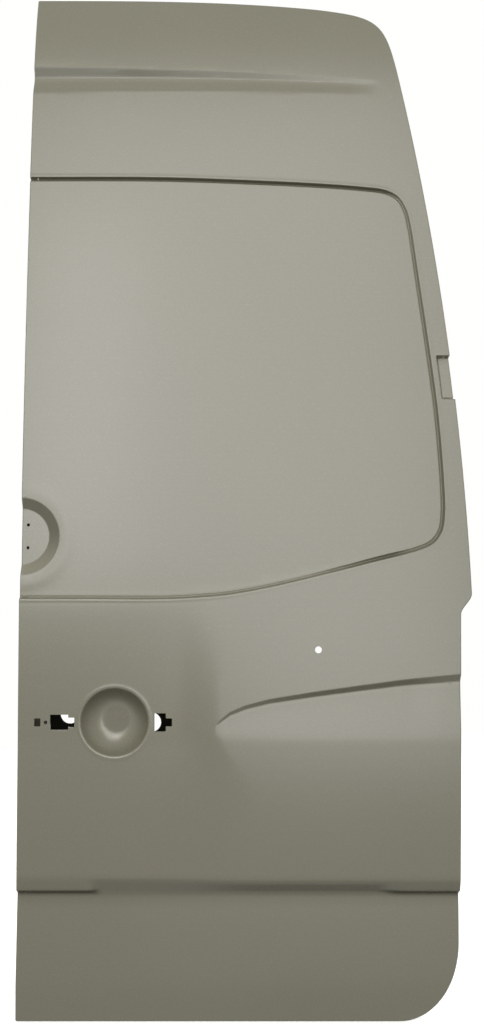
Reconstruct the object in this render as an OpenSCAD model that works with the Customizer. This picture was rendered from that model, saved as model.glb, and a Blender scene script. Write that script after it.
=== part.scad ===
// Bare rear barn door of a high-roof campervan: a pressed outer skin hemmed round
// an inner panel, with the braces, plates and weld nuts that stiffen it.
// Door axes: x from the centre edge to the hinge edge, y from the outer face inwards,
// z from the bottom edge up. The finished part is moved so that the middle of the
// upper hinge seat is at the origin.

/* [Door] */
// Height of the door at its centre edge
door_h = 1887; // [1860:1:1940]
// Width of the door just above its bottom corner
door_w = 778; // [765:1:800]
// How far the top edge leans forward of the foot
lean_d = 206; // [200:1:225]
// Depth from the outer face to the seal land and the edge walls
edge_d = 56; // [55:1:62]
// Depth from the outer face to the inner face
door_d = 74; // [72:1:84]

/* [Outline] */
// Width of the rounded bottom corner at the hinge edge
corner_w = 105; // [95:1:115]
// Height of the rounded bottom corner at the hinge edge
corner_h = 140; // [125:1:150]
// How much the door widens from its bottom corner to the foot of the hip
taper_w = 8; // [4:1:12]
// Height of the hip, where the door is widest
hip_z = 746; // [735:1:760]
// Width of the step under the hip
hip_w = 20; // [14:1:22]
// Height of the step under the hip
hip_h = 38; // [36:1:46]
// Height of the top corner at the hinge edge
shoulder_h = 175; // [167:1:197]
// Width of the top corner at the hinge edge
shoulder_w = 156; // [140:1:176]
// How far the hinge edge leans in between the hip and the shoulder
shoulder_lean_w = 34; // [28:1:40]
// How far the hinge edge bows in between the hip and the shoulder
shoulder_bow_w = 76; // [68:1:80]
// Drop of the top edge from the centre edge to the top corner
crown_d = 21; // [16:1:26]

/* [Sheet] */
// Thickness of the outer skin
skin_t = 0.9; // [0.8:0.1:1.2]
// Thickness of the inner panel
inner_t = 1; // [0.8:0.1:1.3]
// Thickness of the reinforcing plates
plate_t = 2.5; // [2:0.1:3]
// Thickness of the braces and the waist beam
beam_t = 1.2; // [1:0.1:1.6]
// Film of sealer between two sheets
seam = 0.2; // [0.15:0.05:0.3]
// Width of the hem that folds over the inner panel
hem_w = 12; // [10:0.5:13]
// Distance from the door's edge to the edge walls of the inner panel
flange_w = 16; // [15:0.5:20]
// Width of the land on which the door seal presses
land_w = 24; // [20:1:28]

/* [Window field] */
// Distance from the top edge down to the window field at the centre edge
field_drop = 369; // [357:1:387]
// Height of the foot of the window field at the centre edge
field_foot_z = 736; // [725:1:745]
// Distance from the hinge edge to the window field
field_side_w = 35; // [30:1:38]
// Depth of the field under the door's surface at its top
field_top_d = 2; // [1:0.5:3]
// Depth of the field under the door's surface at its foot
field_foot_d = 7; // [5:0.5:8]
// Radius of the corners of the window field
field_r = 48; // [40:1:56]
// Width of the groove round the window field
groove_w = 8; // [6:0.5:10]
// Depth of the groove under the surface of the field
groove_d = 4; // [3:0.5:5]

/* [Creases] */
// Height of the ledge's upper edge
ledge_z = 248; // [240:1:256]
// Height of the ledge above the skirt
ledge_h = 34; // [28:1:40]
// Depth of the ledge above the skirt
ledge_d = 13; // [10:0.5:15]
// Height of the swage line at the hinge edge
swage_z = 600; // [590:1:610]
// Depth of the swage line at the hinge edge
swage_d = 8; // [6:0.5:10]
// Height of the face under the swage line at the hinge edge
swage_h = 15; // [12:0.5:18]
// Distance from the top edge down to the roof crease at the centre edge
crease_drop = 146; // [137:1:152]
// Depth of the roof crease at the centre edge
crease_d = 5; // [3:0.5:6]
// Height of the hollow of the roof crease at the centre edge
crease_h = 34; // [30:1:40]

// Distance from the centre edge to the end of the upright panel round the handle
upright_w = 322; // [310:1:330]
// Depth of the upright panel at its foot
upright_d = 5.5; // [3:0.5:7]
// Height of the foot of the upright panel
upright_z = 492; // [484:1:500]

/* [Badge dish] */
// Height of the centre of the badge dish
badge_z = 847; // [842:1:855]
// Radius of the badge dish at the surface of the field
badge_r = 70; // [64:1:74]
// Radius of the flat floor of the badge dish
badge_floor_r = 48; // [44:1:52]
// Depth of the badge dish
badge_d = 9.5; // [8:0.5:11]
// Radius of the badge's fixing holes
badge_hole_r = 2.8; // [2.2:0.1:3.5]
// Distance between the badge's fixing holes
badge_pitch = 41; // [34:1:48]
// Distance from the centre edge to the badge's fixing holes
badge_hole_x = 20; // [18:1:24]

/* [Handle] */
// Distance from the centre edge to the middle of the finger dish
dish_x = 171; // [165:1:180]
// Height of the middle of the finger dish
dish_z = 519; // [514:1:524]
// Radius of the finger dish at the door's surface
dish_r = 60; // [56:1:64]
// Radius of the floor of the finger dish
dish_floor_r = 27; // [22:1:32]
// Depth of the finger dish
dish_d = 30; // [26:1:34]
// Length of the slot beside the dish on the lock side
slot_l = 32; // [28:1:36]
// Height of the slot beside the dish on the lock side
slot_h = 27; // [24:1:30]
// Length of the slot beside the dish on the hinge side
socket_l = 20; // [17:1:23]
// Height of the slot beside the dish on the hinge side
socket_h = 32; // [28:1:36]
// Length of the small square holes at the ends of the slots
tab_l = 11; // [9:0.5:13]
// Height of the small square holes at the ends of the slots
tab_h = 14; // [12:0.5:16]
// Radius of the small round hole beside the lock-side slot
peg_r = 3.5; // [3:0.1:4]
// Length of the nose that joins the lock-side slot to the dish
nose_l = 16; // [14:0.5:18]
// Gap between the dish and the nose of the lock-side slot
slot_gap = 5.5; // [5:0.5:8]
// Gap between the dish and the slot on the hinge side
socket_gap = 11; // [9:0.5:14]
// Radius of the access holes in the inner panel behind the handle
access_r = 17.5; // [14:0.5:18]
// Distance from the centre edge to the access hole on the lock side
lock_access_x = 82; // [78:1:90]
// Height of the access hole on the lock side
lock_access_z = 521; // [514:1:530]
// Distance from the centre edge to the access hole on the hinge side
socket_access_x = 231; // [220:1:240]
// Height of the access hole on the hinge side
socket_access_z = 506; // [500:1:520]

/* [Port] */
// Distance from the centre edge to the round hole above the swage line
port_x = 532; // [520:1:545]
// Height of the round hole above the swage line
port_z = 647; // [640:1:655]
// Radius of the round hole above the swage line
port_r = 6; // [5:0.5:8]

/* [Hinges] */
// Height of the middle of the upper hinge
upper_hinge_z = 1136; // [1125:1:1150]
// Height of the middle of the lower hinge
lower_hinge_z = 330; // [310:1:360]
// Depth of the pocket that clears the upper hinge
pocket_d = 16; // [12:1:17]
// Width of the pocket at the door's edge
pocket_w = 24; // [22:1:26]
// Height of the pocket
pocket_h = 80; // [76:1:84]
// How far a hinge seat stands out from the edge wall
seat_out = 4; // [4:0.5:5]
// Length of a hinge seat
seat_l = 64; // [58:1:66]
// Width of a hinge seat
seat_w = 26; // [24:0.5:26]
// Distance between the bolts of a hinge
hinge_pitch = 40; // [36:1:44]
// Radius of the bolt holes in the edge walls
bolt_r = 4.5; // [4:0.1:5]

/* [Lock] */
// Height of the middle of the lock
lock_z = 521; // [515:1:530]
// Length of the lock's cut-out in the centre edge
lock_l = 70; // [60:1:76]
// Width of the lock's cut-out
lock_w = 16; // [14:1:18]
// Distance between the bolts of the lock
lock_pitch = 100; // [94:1:106]
// Distance between the bolts of the top and bottom latches
latch_pitch = 60; // [54:1:64]
// Distance from the centre edge to the middle of the latches
latch_x = 110; // [105:1:130]
// Radius of the rod hole of a latch
rod_r = 9; // [7:0.5:11]
// Height of the middle of the door check
check_z = 620; // [600:1:640]
// Length of the cut-out for the door check's arm
check_l = 34; // [28:1:38]

/* [Inner openings] */
// Width of the inner panel's face round its openings
frame_w = 62; // [56:1:66]
// Height of the foot of the window opening
window_foot_z = 832; // [826:1:846]
// Distance from the top edge down to the window opening
window_drop = 447; // [427:1:467]
// Height of the middle opening's foot
middle_foot_z = 572; // [566:1:580]
// Height of the middle opening's top
middle_top_z = 700; // [690:1:710]
// Height of the lower opening's top
lower_top_z = 470; // [450:1:476]
// Radius of the corners of the openings
opening_r = 40; // [30:1:48]
// Depth of the lips round the middle and lower openings
lip_d = 10; // [8:0.5:12]
// Width of the flange round the window opening
rebate_w = 18; // [16:0.5:22]
// Radius of the edge walls' corners at the centre edge
wall_r = 50; // [44:1:56]
// Depth of the recess pressed into the top rail
recess_d = 6; // [4:0.5:8]
// Distance from the window opening to that recess
recess_gap = 56; // [50:1:70]
// Radius of the drain holes in the foot
drain_r = 5; // [4:0.5:6]

/* [Braces] */
// Thickness of the mastic between the skin and what supports it
mastic_t = 4; // [3:0.5:5]
// Width of the crown of a brace
beam_w = 40; // [36:1:46]
// Depth of a brace
beam_d = 20; // [17:1:22]
// Width of the feet of a brace
foot_w = 15; // [12:1:18]
// Width of a mastic pad
pad_w = 24; // [18:1:26]
// Length of a mastic pad
pad_l = 70; // [60:1:80]
// Length of a weld nut across its flats
nut_w = 14; // [12:0.5:16]
// Height of a weld nut
nut_h = 8; // [6:0.5:9]

/* [Hidden] */
$fn = 48;
// Overrun of cuts past the faces that they cut
over = 60;
// Segments of an arc, of a long curve and of a short one
arc_n = 6;
long_n = 20;
short_n = 6;

// The door's lean: a straight part, a bow and the roll at the roof
straight_d = 63;
bow_d = 128;
roll_d = lean_d - straight_d - bow_d;
roll_power = 5;
field_top_z = door_h - field_drop;
roll_z = field_top_z;
ledge_foot_z = ledge_z - ledge_h;
// Height of the flat toe of the skirt
toe_h = 60;

// The hinge edge
hip_foot_z = hip_z - hip_h;
hip_x = door_w + taper_w + hip_w;
shoulder_x = hip_x - shoulder_lean_w - shoulder_bow_w;
shoulder_z = door_h - shoulder_h;
crown_w = shoulder_x - shoulder_w;
// Height at which the inner frame meets the hinge edge's own curve again
frame_blend_z = 930;
// Handles of the top corner's curve, as shares of its width and height
shoulder_handle_shares = [0.154, 0.818];
crown_handle_shares = [0.8, 0.885];

// Depths of the layers at the hem
flange_in_d = skin_t + seam;
hem_in_d = flange_in_d + inner_t + seam;
rim_d = hem_in_d + skin_t;

// The field's top edge falls towards the hinge edge, and its foot climbs
field_flat_x = 220;
field_fall_h = 25;
field_climb_x = 345;
field_climb_slope_share = 0.243;

// The swage line and the roof crease. Their tables hold shares of the reach, of the
// droop of the line and of the depth.
swage_tip_x = 360;
swage_run_h = 110;
swage_rise_h = 54;
swage_droop_h = 24;
swage_shares = [[0, 1, 0], [0.06, 0.55, 0.2], [0.2, 0.05, 0.4], [0.55, 0, 0.7], [1.2, 0, 1.15]];
// The upright panel's top, the height over which it runs out again and the width of
// its border
upright_top_z = field_foot_z - groove_w;
upright_run_h = 150;
upright_side_w = 42;
crease_z = door_h - crease_drop;
crease_tip_share = 0.93;
crease_fall_h = 12;
crease_shares = [[1, 0], [0.7, 0.45], [0.35, 1], [-0.1, 1]];
crease_deep_share = 0.56;
// Height of both cuts at their tips, as a share of their full height
thin_share = 0.333;
// How far these cuts stand clear of the surface where they run out
tip_out = 0.4;
// Clearance of a hinge seat from the leaning hem and land beside it
lean_gap = 5;

// Depth of the middles of the hinge seats, and of the lock, check and latches
seat_middle_d = rim_d + pocket_d + lean_gap + seat_w / 2;
edge_middle_d = (rim_d + edge_d) / 2;

// The slots beside the finger dish, whose places are shares of the lock-side slot's
// length and height
nose_share = 0.62;
peg_share = 0.76;
tab_share = 1.21;
slot_x = dish_x - dish_r - slot_gap - nose_l - slot_l / 2;
nose_x = slot_x + (slot_l + nose_l) / 2;
nose_h = slot_h * nose_share;
peg_x = slot_x - slot_l * peg_share;
tab_x = slot_x - slot_l * tab_share;
socket_x = dish_x + dish_r + socket_gap + socket_l / 2;
socket_tab_x = socket_x + (socket_l + tab_l) / 2;

// The plate round the handle
handle_plate_x = flange_w + seat_out;
handle_plate_l = socket_tab_x + land_w - handle_plate_x;
handle_plate_h = 2 * (dish_r + land_w);
hinge_plate_share = 2.5;
hinge_plate_h = hinge_plate_share * seat_l;

// The inner panel's window opening and the drain holes, whose places are shares of
// the door's width
window_top_z = door_h - window_drop;
drain_shares = [0.35, 0.55, 0.75];

// Heights of the braces, as shares of the window opening's height
upper_brace_share = 0.8;
middle_brace_share = 0.5;
lower_brace_share = 0.2;
pads_n = 5;

function smooth(t) = (1 - cos(180 * t)) / 2;
function lerp(a, b, t) = a + (b - a) * t;

// Depth of the door's surface at height z
function skirt_y(z) = ledge_d * pow(max(0, z - toe_h) / (ledge_foot_z - toe_h), 2);
function ledge_y(z) = ledge_d * smooth((ledge_z - z) / ledge_h);
function lean_y(z) =
    let (rise = (z - ledge_z) / (door_h - ledge_z), roll = max(0, z - roll_z) / (door_h - roll_z))
    straight_d * rise + bow_d * pow(rise, 2) + roll_d * pow(roll, roll_power);
function body_y(z) = z < ledge_foot_z ? skirt_y(z) : z < ledge_z ? ledge_y(z) : lean_y(z);
function body_tilt(z) = atan((body_y(z + skin_t) - body_y(z - skin_t)) / (2 * skin_t));

// Depth of the upright panel's surface at height z
function upright_share(z) =
    z > upright_z ? max(0, upright_top_z - z) / (upright_top_z - upright_z)
    : smooth(max(0, z - upright_z + upright_run_h) / upright_run_h);
function upright_y(z) = body_y(z) + upright_d * upright_share(z);
function upright_tilt(z) = atan((upright_y(z + skin_t) - upright_y(z - skin_t)) / (2 * skin_t));

// Depth of the window field's surface at height z
function field_y(z) =
    body_y(z) + lerp(field_foot_d, field_top_d, (z - field_foot_z) / (field_top_z - field_foot_z));

// Heights at which the door's side profile has its corners
function spread(from, to, n) = [for (i = [0 : n - 1]) lerp(from, to, i / n)];
heights = concat([0], spread(toe_h, ledge_foot_z, short_n), spread(ledge_foot_z, ledge_z, arc_n),
    spread(ledge_z, roll_z, long_n), spread(roll_z, door_h, 2 * short_n), [door_h]);
field_heights = [for (z = heights) if (z > field_foot_z - 2 * over && z < field_top_z + over) z];

// The hinge edge at height z, and the line that the inner frame follows there
function upper_edge_x(z) =
    let (t = (z - hip_z) / (shoulder_z - hip_z))
    hip_x - shoulder_lean_w * t - shoulder_bow_w * pow(t, 2);
function hip_edge_x(z) = door_w + taper_w + hip_w * smooth((z - hip_foot_z) / hip_h);
function lower_edge_x(z) = door_w + taper_w * (z - corner_h) / (hip_foot_z - corner_h);
function edge_x(z) = z < hip_foot_z ? lower_edge_x(z) : z < hip_z ? hip_edge_x(z) : upper_edge_x(z);
function frame_x(z) =
    z > frame_blend_z ? upper_edge_x(z)
    : z < hip_foot_z ? lower_edge_x(z)
    : lerp(lower_edge_x(hip_foot_z), upper_edge_x(frame_blend_z),
        (z - hip_foot_z) / (frame_blend_z - hip_foot_z));

// The outline of the door in x and z, from the foot of the centre edge round the hinge edge
function top_z(x) = door_h - crown_d * pow(x / crown_w, 3);
function foot_corner() = [for (i = [0 : 2 * arc_n]) let (a = 90 * i / (2 * arc_n))
    [door_w - corner_w + corner_w * sin(a), corner_h * (1 - cos(a))]];
function bezier(p, t) = p[0] * pow(1 - t, 3) + 3 * p[1] * t * pow(1 - t, 2)
    + 3 * p[2] * pow(t, 2) * (1 - t) + p[3] * pow(t, 3);
function top_corner() =
    let (
        start = [shoulder_x, shoulder_z],
        end = [crown_w, top_z(crown_w)],
        w = start.x - end.x,
        h = end.y - start.y,
        handle_a = start + [-w * shoulder_handle_shares[0], h * shoulder_handle_shares[1]],
        handle_b = end + [w * crown_handle_shares[0], -h * (1 - crown_handle_shares[1])]
    )
    [for (i = [0 : 2 * arc_n]) bezier([start, handle_a, handle_b, end], i / (2 * arc_n))];
function top_edge() = [for (i = [arc_n - 1 : -1 : 0]) let (x = crown_w * i / arc_n) [x, top_z(x)]];
function hip_curve() = [for (z = concat(spread(hip_foot_z, hip_z, arc_n), [hip_z])) [edge_x(z), z]];
function hinge_curve(from) =
    [for (z = spread(from, shoulder_z, long_n / 2)) if (z > from) [edge_x(z), z]];
outline = concat([[0, 0]], foot_corner(), hip_curve(), hinge_curve(hip_z), top_corner(), top_edge());
pan_r = wall_r + flange_w;
function pan_foot_corner() = [for (i = [0 : arc_n]) let (a = 90 * i / arc_n)
    [pan_r * (1 - cos(a)), pan_r * (1 - sin(a))]];
function pan_top_corner() = [for (i = [0 : arc_n]) let (a = 90 * i / arc_n, x = pan_r * (1 - sin(a)))
    [x, top_z(x) - pan_r * (1 - cos(a))]];
frame_outline = concat(pan_foot_corner(), foot_corner(), [[frame_x(hip_foot_z), hip_foot_z]],
    [for (z = spread(frame_blend_z, shoulder_z, short_n)) [frame_x(z), z]],
    top_corner(), [for (p = top_edge()) if (p.x > pan_r) p], pan_top_corner());

// An outline with all its edges moved outwards by d
function unit(v) = v / norm(v);
function grown(points, d) = [for (i = [0 : len(points) - 1])
    let (
        n = len(points),
        a = unit(points[i] - points[(i + n - 1) % n]),
        b = unit(points[(i + 1) % n] - points[i])
    )
    points[i] + d * [a.y + b.y, -a.x - b.x] / (1 + a * b)];

// A polygon with all its corners rounded
function rounded(points, r) = [for (i = [0 : len(points) - 1]) each
    let (
        n = len(points),
        p = points[i],
        a = unit(points[(i + n - 1) % n] - p),
        b = unit(points[(i + 1) % n] - p),
        half = acos(a * b) / 2,
        middle = p + unit(a + b) * r / sin(half),
        from = p + a * r / tan(half) - middle,
        to = p + b * r / tan(half) - middle,
        start = atan2(from.y, from.x),
        sweep = atan2(from.x * to.y - from.y * to.x, from * to)
    )
    [for (k = [0 : arc_n]) let (t = start + sweep * k / arc_n) middle + r * [cos(t), sin(t)]]];

// The window field's outline
function field_edge_x(z) = upper_edge_x(z) - field_side_w;
field_low_z = field_foot_z + field_climb_slope_share * (field_edge_x(field_foot_z) - field_climb_x);
field_corners = rounded([
    [-2 * over, field_foot_z],
    [field_climb_x, field_foot_z],
    [field_edge_x(field_low_z), field_low_z],
    [field_edge_x(lerp(field_low_z, field_top_z, 1 / 3)), lerp(field_low_z, field_top_z, 1 / 3)],
    [field_edge_x(lerp(field_low_z, field_top_z, 2 / 3)), lerp(field_low_z, field_top_z, 2 / 3)],
    [field_edge_x(field_top_z - field_fall_h), field_top_z - field_fall_h],
    [field_flat_x, field_top_z],
    [-2 * over, field_top_z]], field_r);

// Prisms along the door's axes, and a loft through sections of equal length
module along_x(points, from, to) {
    translate([from, 0, 0]) rotate([90, 0, 90]) linear_extrude(to - from) polygon(points);
}
module along_y(points, from, to) {
    translate([0, to, 0]) rotate([90, 0, 0]) linear_extrude(to - from) polygon(points);
}
module ring_y(points, outer, inner) {
    difference() {
        along_y(grown(points, outer), -over, lean_d + 2 * over);
        along_y(grown(points, inner), -2 * over, lean_d + 3 * over);
    }
}
module loft(sections) {
    n = len(sections[0]);
    m = len(sections);
    sides = [for (i = [0 : m - 2], k = [0 : n - 1])
        [i * n + k, i * n + (k + 1) % n, (i + 1) * n + (k + 1) % n, (i + 1) * n + k]];
    caps = [[for (k = [n - 1 : -1 : 0]) k], [for (k = [0 : n - 1]) (m - 1) * n + k]];
    polyhedron([for (s = sections) each s], concat(sides, caps), convexity = 4);
}

// What lies behind the door's plain surface, set back by d
module behind_body(d, deep = lean_d + 2 * over) {
    along_x(concat([[deep + d, -over - d], [body_y(0) + d, -over - d]],
        [for (z = heights) [body_y(z) + d, z]],
        [[body_y(door_h + over) + d, door_h + over + d], [deep + d, door_h + over + d]]),
        -2 * over - d, door_w + 2 * over + d);
}
module body_layer(from, to) {
    along_x(concat([for (z = heights) [body_y(z) + to, z]],
        [for (i = [len(heights) - 1 : -1 : 0]) [body_y(heights[i]) + from, heights[i]]]),
        -over, door_w + over);
}
// What lies in front of the window field, set back by d
module before_field(d) {
    zs = field_heights;
    along_x(concat([[-over, zs[0]]], [for (z = zs) [field_y(z) + d, z]], [[-over, zs[len(zs) - 1]]]),
        -3 * over, door_w + 3 * over);
}
module field_cut(d) {
    intersection() {
        before_field(d);
        along_y(grown(field_corners, d), -2 * over, lean_d + over);
    }
    intersection() {
        before_field(groove_d + d);
        ring_y(field_corners, d, -groove_w - d);
    }
}
module on_surface(x, y, z, tilt) {
    translate([x, y, z]) rotate([90 - tilt, 0, 0]) children();
}
module badge_cut(d) {
    on_surface(0, field_y(badge_z), badge_z, body_tilt(badge_z))
        translate([0, 0, -badge_d - d]) rotate_extrude() polygon(
            [[0, 0], [badge_floor_r + d, 0], [badge_r + d, badge_d], [badge_r + d, over], [0, over]]);
}
module dish_cut(d) {
    rise = (pow(dish_r, 2) - pow(dish_floor_r, 2) - pow(dish_d, 2)) / (2 * dish_d);
    bowl_r = norm([dish_r, rise]);
    on_surface(dish_x, upright_y(dish_z), dish_z, upright_tilt(dish_z)) intersection() {
        translate([0, 0, rise]) sphere(bowl_r + d);
        translate([0, 0, -dish_d - d]) cylinder(h = 2 * over, r = 2 * bowl_r);
    }
}
module pocket_cut(d) {
    low = upper_hinge_z - pocket_h / 2 - d;
    high = upper_hinge_z + pocket_h / 2 + d;
    function corners(in, draft, w) = [
        [edge_x(low) - w - d + draft, body_y(low) + in, low + draft],
        [edge_x(low) + over, body_y(low) + in, low + draft],
        [edge_x(low) + over, body_y(high) + in, high - draft],
        [edge_x(high) - w - d + draft, body_y(high) + in, high - draft]];
    loft([corners(-over, 0, pocket_w), corners(0, 0, pocket_w),
        corners(pocket_d + d, seat_out, pocket_w)]);
}
module upright_cut(d) {
    run = upright_top_z - upright_z + upright_run_h;
    function section(x, k) = concat([[x, -over, upright_top_z]],
        [for (i = [0 : 2 * arc_n]) let (z = upright_top_z - run * i / (2 * arc_n), s = k * upright_share(z))
            [x, body_y(z) + d + upright_d * s - tip_out * (1 - s), z]],
        [[x, -over, upright_top_z - run]]);
    loft([section(-over, 1), section(upright_w - upright_side_w / 2, 1),
        section(upright_w + upright_side_w / 2, 0)]);
}
module crease_cut(d) {
    function section(s) =
        let (
            x = shoulder_x * crease_tip_share * s[0],
            top = crease_z - crease_fall_h * s[0],
            h = lerp(crease_h * thin_share, crease_h, s[1]),
            deep = top - h * crease_deep_share,
            out = tip_out * (1 - s[1])
        )
        [
            [x, -over, top], [x, body_y(top) + d - out, top],
            [x, body_y(deep) + d + crease_d * s[1] - out, deep],
            [x, body_y(top - h) + d - out, top - h], [x, -over, top - h]];
    loft([for (i = [len(crease_shares) - 1 : -1 : 0]) section(crease_shares[i])]);
}
module swage_cut(d) {
    reach = door_w + taper_w - swage_tip_x;
    function section(s) =
        let (
            x = swage_tip_x + reach * s[0],
            top = swage_z - swage_rise_h * (1 - s[0]) - swage_droop_h * s[1],
            h = lerp(swage_h * thin_share, swage_h, s[2]),
            run = lerp(swage_run_h * thin_share, swage_run_h, s[2]),
            out = tip_out * (1 - s[2])
        )
        [
            [x, -over, top], [x, body_y(top) + d - out, top],
            [x, body_y(top - h) + d + swage_d * s[2] - out, top - h],
            [x, body_y(top - run) + d - out, top - run], [x, -over, top - run]];
    loft([for (s = swage_shares) section(s)]);
}
// What lies behind the pressed outer surface, set back by d
module behind_skin(d) {
    difference() {
        behind_body(d);
        field_cut(d);
        badge_cut(d);
        dish_cut(d);
        pocket_cut(d);
        crease_cut(d);
        swage_cut(d);
        upright_cut(d);
    }
}
module skin_layer(from, to) {
    difference() {
        behind_skin(from);
        behind_skin(to);
    }
}

module hole_y(x, z, r) {
    translate([x, -over, z]) rotate([-90, 0, 0]) cylinder(h = lean_d + 2 * over, r = r);
}
module slot_y(x, z, l, h) {
    translate([x - l / 2, -over, z - h / 2]) cube([l, lean_d + 2 * over, h]);
}
// The slots and holes on both sides of the finger dish, grown by d
module handle_holes(d) {
    slot_y(slot_x, dish_z, slot_l + 2 * d, slot_h + 2 * d);
    slot_y(nose_x, dish_z, nose_l + 2 * d, nose_h + 2 * d);
    slot_y(tab_x, dish_z, tab_l + 2 * d, tab_h + 2 * d);
    hole_y(peg_x, dish_z, peg_r + d);
    slot_y(socket_x, dish_z, socket_l + 2 * d, socket_h + 2 * d);
    slot_y(socket_tab_x, dish_z, tab_l + 2 * d, tab_h + 2 * d);
}
module outer_skin() {
    color([0.66, 0.65, 0.6]) difference() {
        union() {
            intersection() {
                along_y(outline, -over, lean_d + over);
                skin_layer(0, skin_t);
            }
            intersection() {
                ring_y(outline, 0, -hem_w);
                skin_layer(hem_in_d, rim_d);
            }
            intersection() {
                ring_y(outline, 0, -skin_t);
                skin_layer(0, rim_d);
            }
        }
        handle_holes(0);
        hole_y(port_x, port_z, port_r);
        for (side = [-1, 1]) hole_y(badge_hole_x, badge_z + side * badge_pitch / 2, badge_hole_r);
    }
}

// The closed pan that the inner panel is pressed over, with its faces moved in by g
module pan(g, front) {
    intersection() {
        along_y(grown(frame_outline, -flange_w - g), -over, lean_d + 2 * over);
        body_layer(front, edge_d - g);
    }
    difference() {
        intersection() {
            along_y(grown(frame_outline, -flange_w - land_w - g), -over, lean_d + 2 * over);
            body_layer(front, door_d - g);
        }
        intersection() {
            along_y(grown(top_recess, g), -2 * over, lean_d + 3 * over);
            body_layer(door_d - recess_d - g, door_d + over);
        }
    }
    for (z = [upper_hinge_z, lower_hinge_z]) hinge_seat(z, g);
}
module hinge_seat(z, g) {
    translate([seat_x(z) - frame_w, seat_y(z) - seat_w / 2 + g, z - seat_l / 2 + g])
        cube([frame_w - g, seat_w - 2 * g, seat_l - 2 * g]);
}
function seat_x(z) = frame_x(z) - flange_w + seat_out;
function seat_y(z) = body_y(z) + seat_middle_d;

stile_x = flange_w + land_w + frame_w;
function opening(from, to) = rounded([
    [stile_x, from], [frame_x(from) - stile_x, from],
    [frame_x(to) - stile_x, to], [stile_x, to]], opening_r);
window_opening = opening(window_foot_z, window_top_z);
middle_opening = opening(middle_foot_z, middle_top_z);
lower_opening = opening(stile_x, lower_top_z);
top_recess = opening(window_top_z + recess_gap, door_h - stile_x);

// What lies behind the window field, set back by d
module behind_field(d) {
    zs = field_heights;
    along_x(concat([[lean_d + 3 * over, zs[0]]], [for (z = zs) [field_y(z) + d, z]],
        [[lean_d + 3 * over, zs[len(zs) - 1]]]), -3 * over, door_w + 3 * over);
}

// Bolt holes and cut-outs in the edge walls, shared by the panel and the plates behind it
module hole_x(y, x, z, r, l) {
    translate([x, y, z]) rotate([0, 90, 0]) cylinder(h = l, r = r, center = true);
}
module hole_z(x, y, z, r, l) {
    translate([x, y, z]) cylinder(h = l, r = r, center = true);
}
lock_y = body_y(lock_z) + edge_middle_d;
check_y = body_y(check_z) + edge_middle_d;
bottom_latch_y = body_y(flange_w) + edge_middle_d;
top_latch_y = body_y(door_h - flange_w) + edge_middle_d;
module edge_cuts() {
    for (side = [-1, 1]) {
        for (z = [upper_hinge_z, lower_hinge_z])
            hole_x(seat_y(z), seat_x(z), z + side * hinge_pitch / 2, bolt_r, land_w);
        hole_x(lock_y, flange_w, lock_z + side * lock_pitch / 2, bolt_r, land_w);
        hole_x(check_y, frame_x(check_z) - flange_w, check_z + side * latch_pitch / 2, bolt_r, land_w);
        hole_z(latch_x + side * latch_pitch / 2, bottom_latch_y, flange_w, bolt_r, land_w);
        hole_z(latch_x + side * latch_pitch / 2, top_latch_y, door_h - flange_w, bolt_r, land_w);
    }
    for (share = drain_shares) hole_z(door_w * share, bottom_latch_y, flange_w, drain_r, land_w);
    hole_z(latch_x, bottom_latch_y, flange_w, rod_r, land_w);
    hole_z(latch_x, top_latch_y, door_h - flange_w, rod_r, land_w);
    translate([flange_w, lock_y, lock_z]) cube([land_w, lock_w, lock_l], center = true);
    translate([frame_x(check_z) - flange_w, check_y, check_z])
        cube([land_w, lock_w, check_l], center = true);
}

module inner_hollow() {
    difference() {
        pan(inner_t, -2 * over);
        for (points = [middle_opening, lower_opening]) intersection() {
            along_y(grown(points, inner_t), -3 * over, lean_d + 3 * over);
            body_layer(door_d - lip_d, door_d + over);
        }
        intersection() {
            along_y(grown(window_opening, inner_t), -3 * over, lean_d + 3 * over);
            behind_field(skin_t + mastic_t);
        }
    }
}
module inner_panel() {
    color([0.6, 0.59, 0.54]) difference() {
        intersection() {
            along_y(grown(outline, -skin_t - seam), -over, lean_d + 2 * over);
            behind_skin(flange_in_d);
        }
        difference() {
            behind_skin(flange_in_d + inner_t);
            pan(0, -over);
        }
        inner_hollow();
        along_y(middle_opening, -4 * over, lean_d + 4 * over);
        along_y(lower_opening, -4 * over, lean_d + 4 * over);
        along_y(grown(window_opening, -rebate_w), -4 * over, lean_d + 4 * over);
        intersection() {
            along_y(window_opening, -4 * over, lean_d + 2 * over);
            behind_field(skin_t + mastic_t + inner_t);
        }
        hole_y(lock_access_x, lock_access_z, access_r);
        hole_y(socket_access_x, socket_access_z, access_r);
        edge_cuts();
    }
}

// Mastic bead between the skin and the flange of the window opening
module window_mastic() {
    color([0.2, 0.2, 0.2]) intersection() {
        ring_y(window_opening, -rebate_w / 4, -rebate_w * 3 / 4);
        difference() {
            behind_field(skin_t + seam);
            behind_field(skin_t + mastic_t - seam);
        }
    }
}

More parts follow.
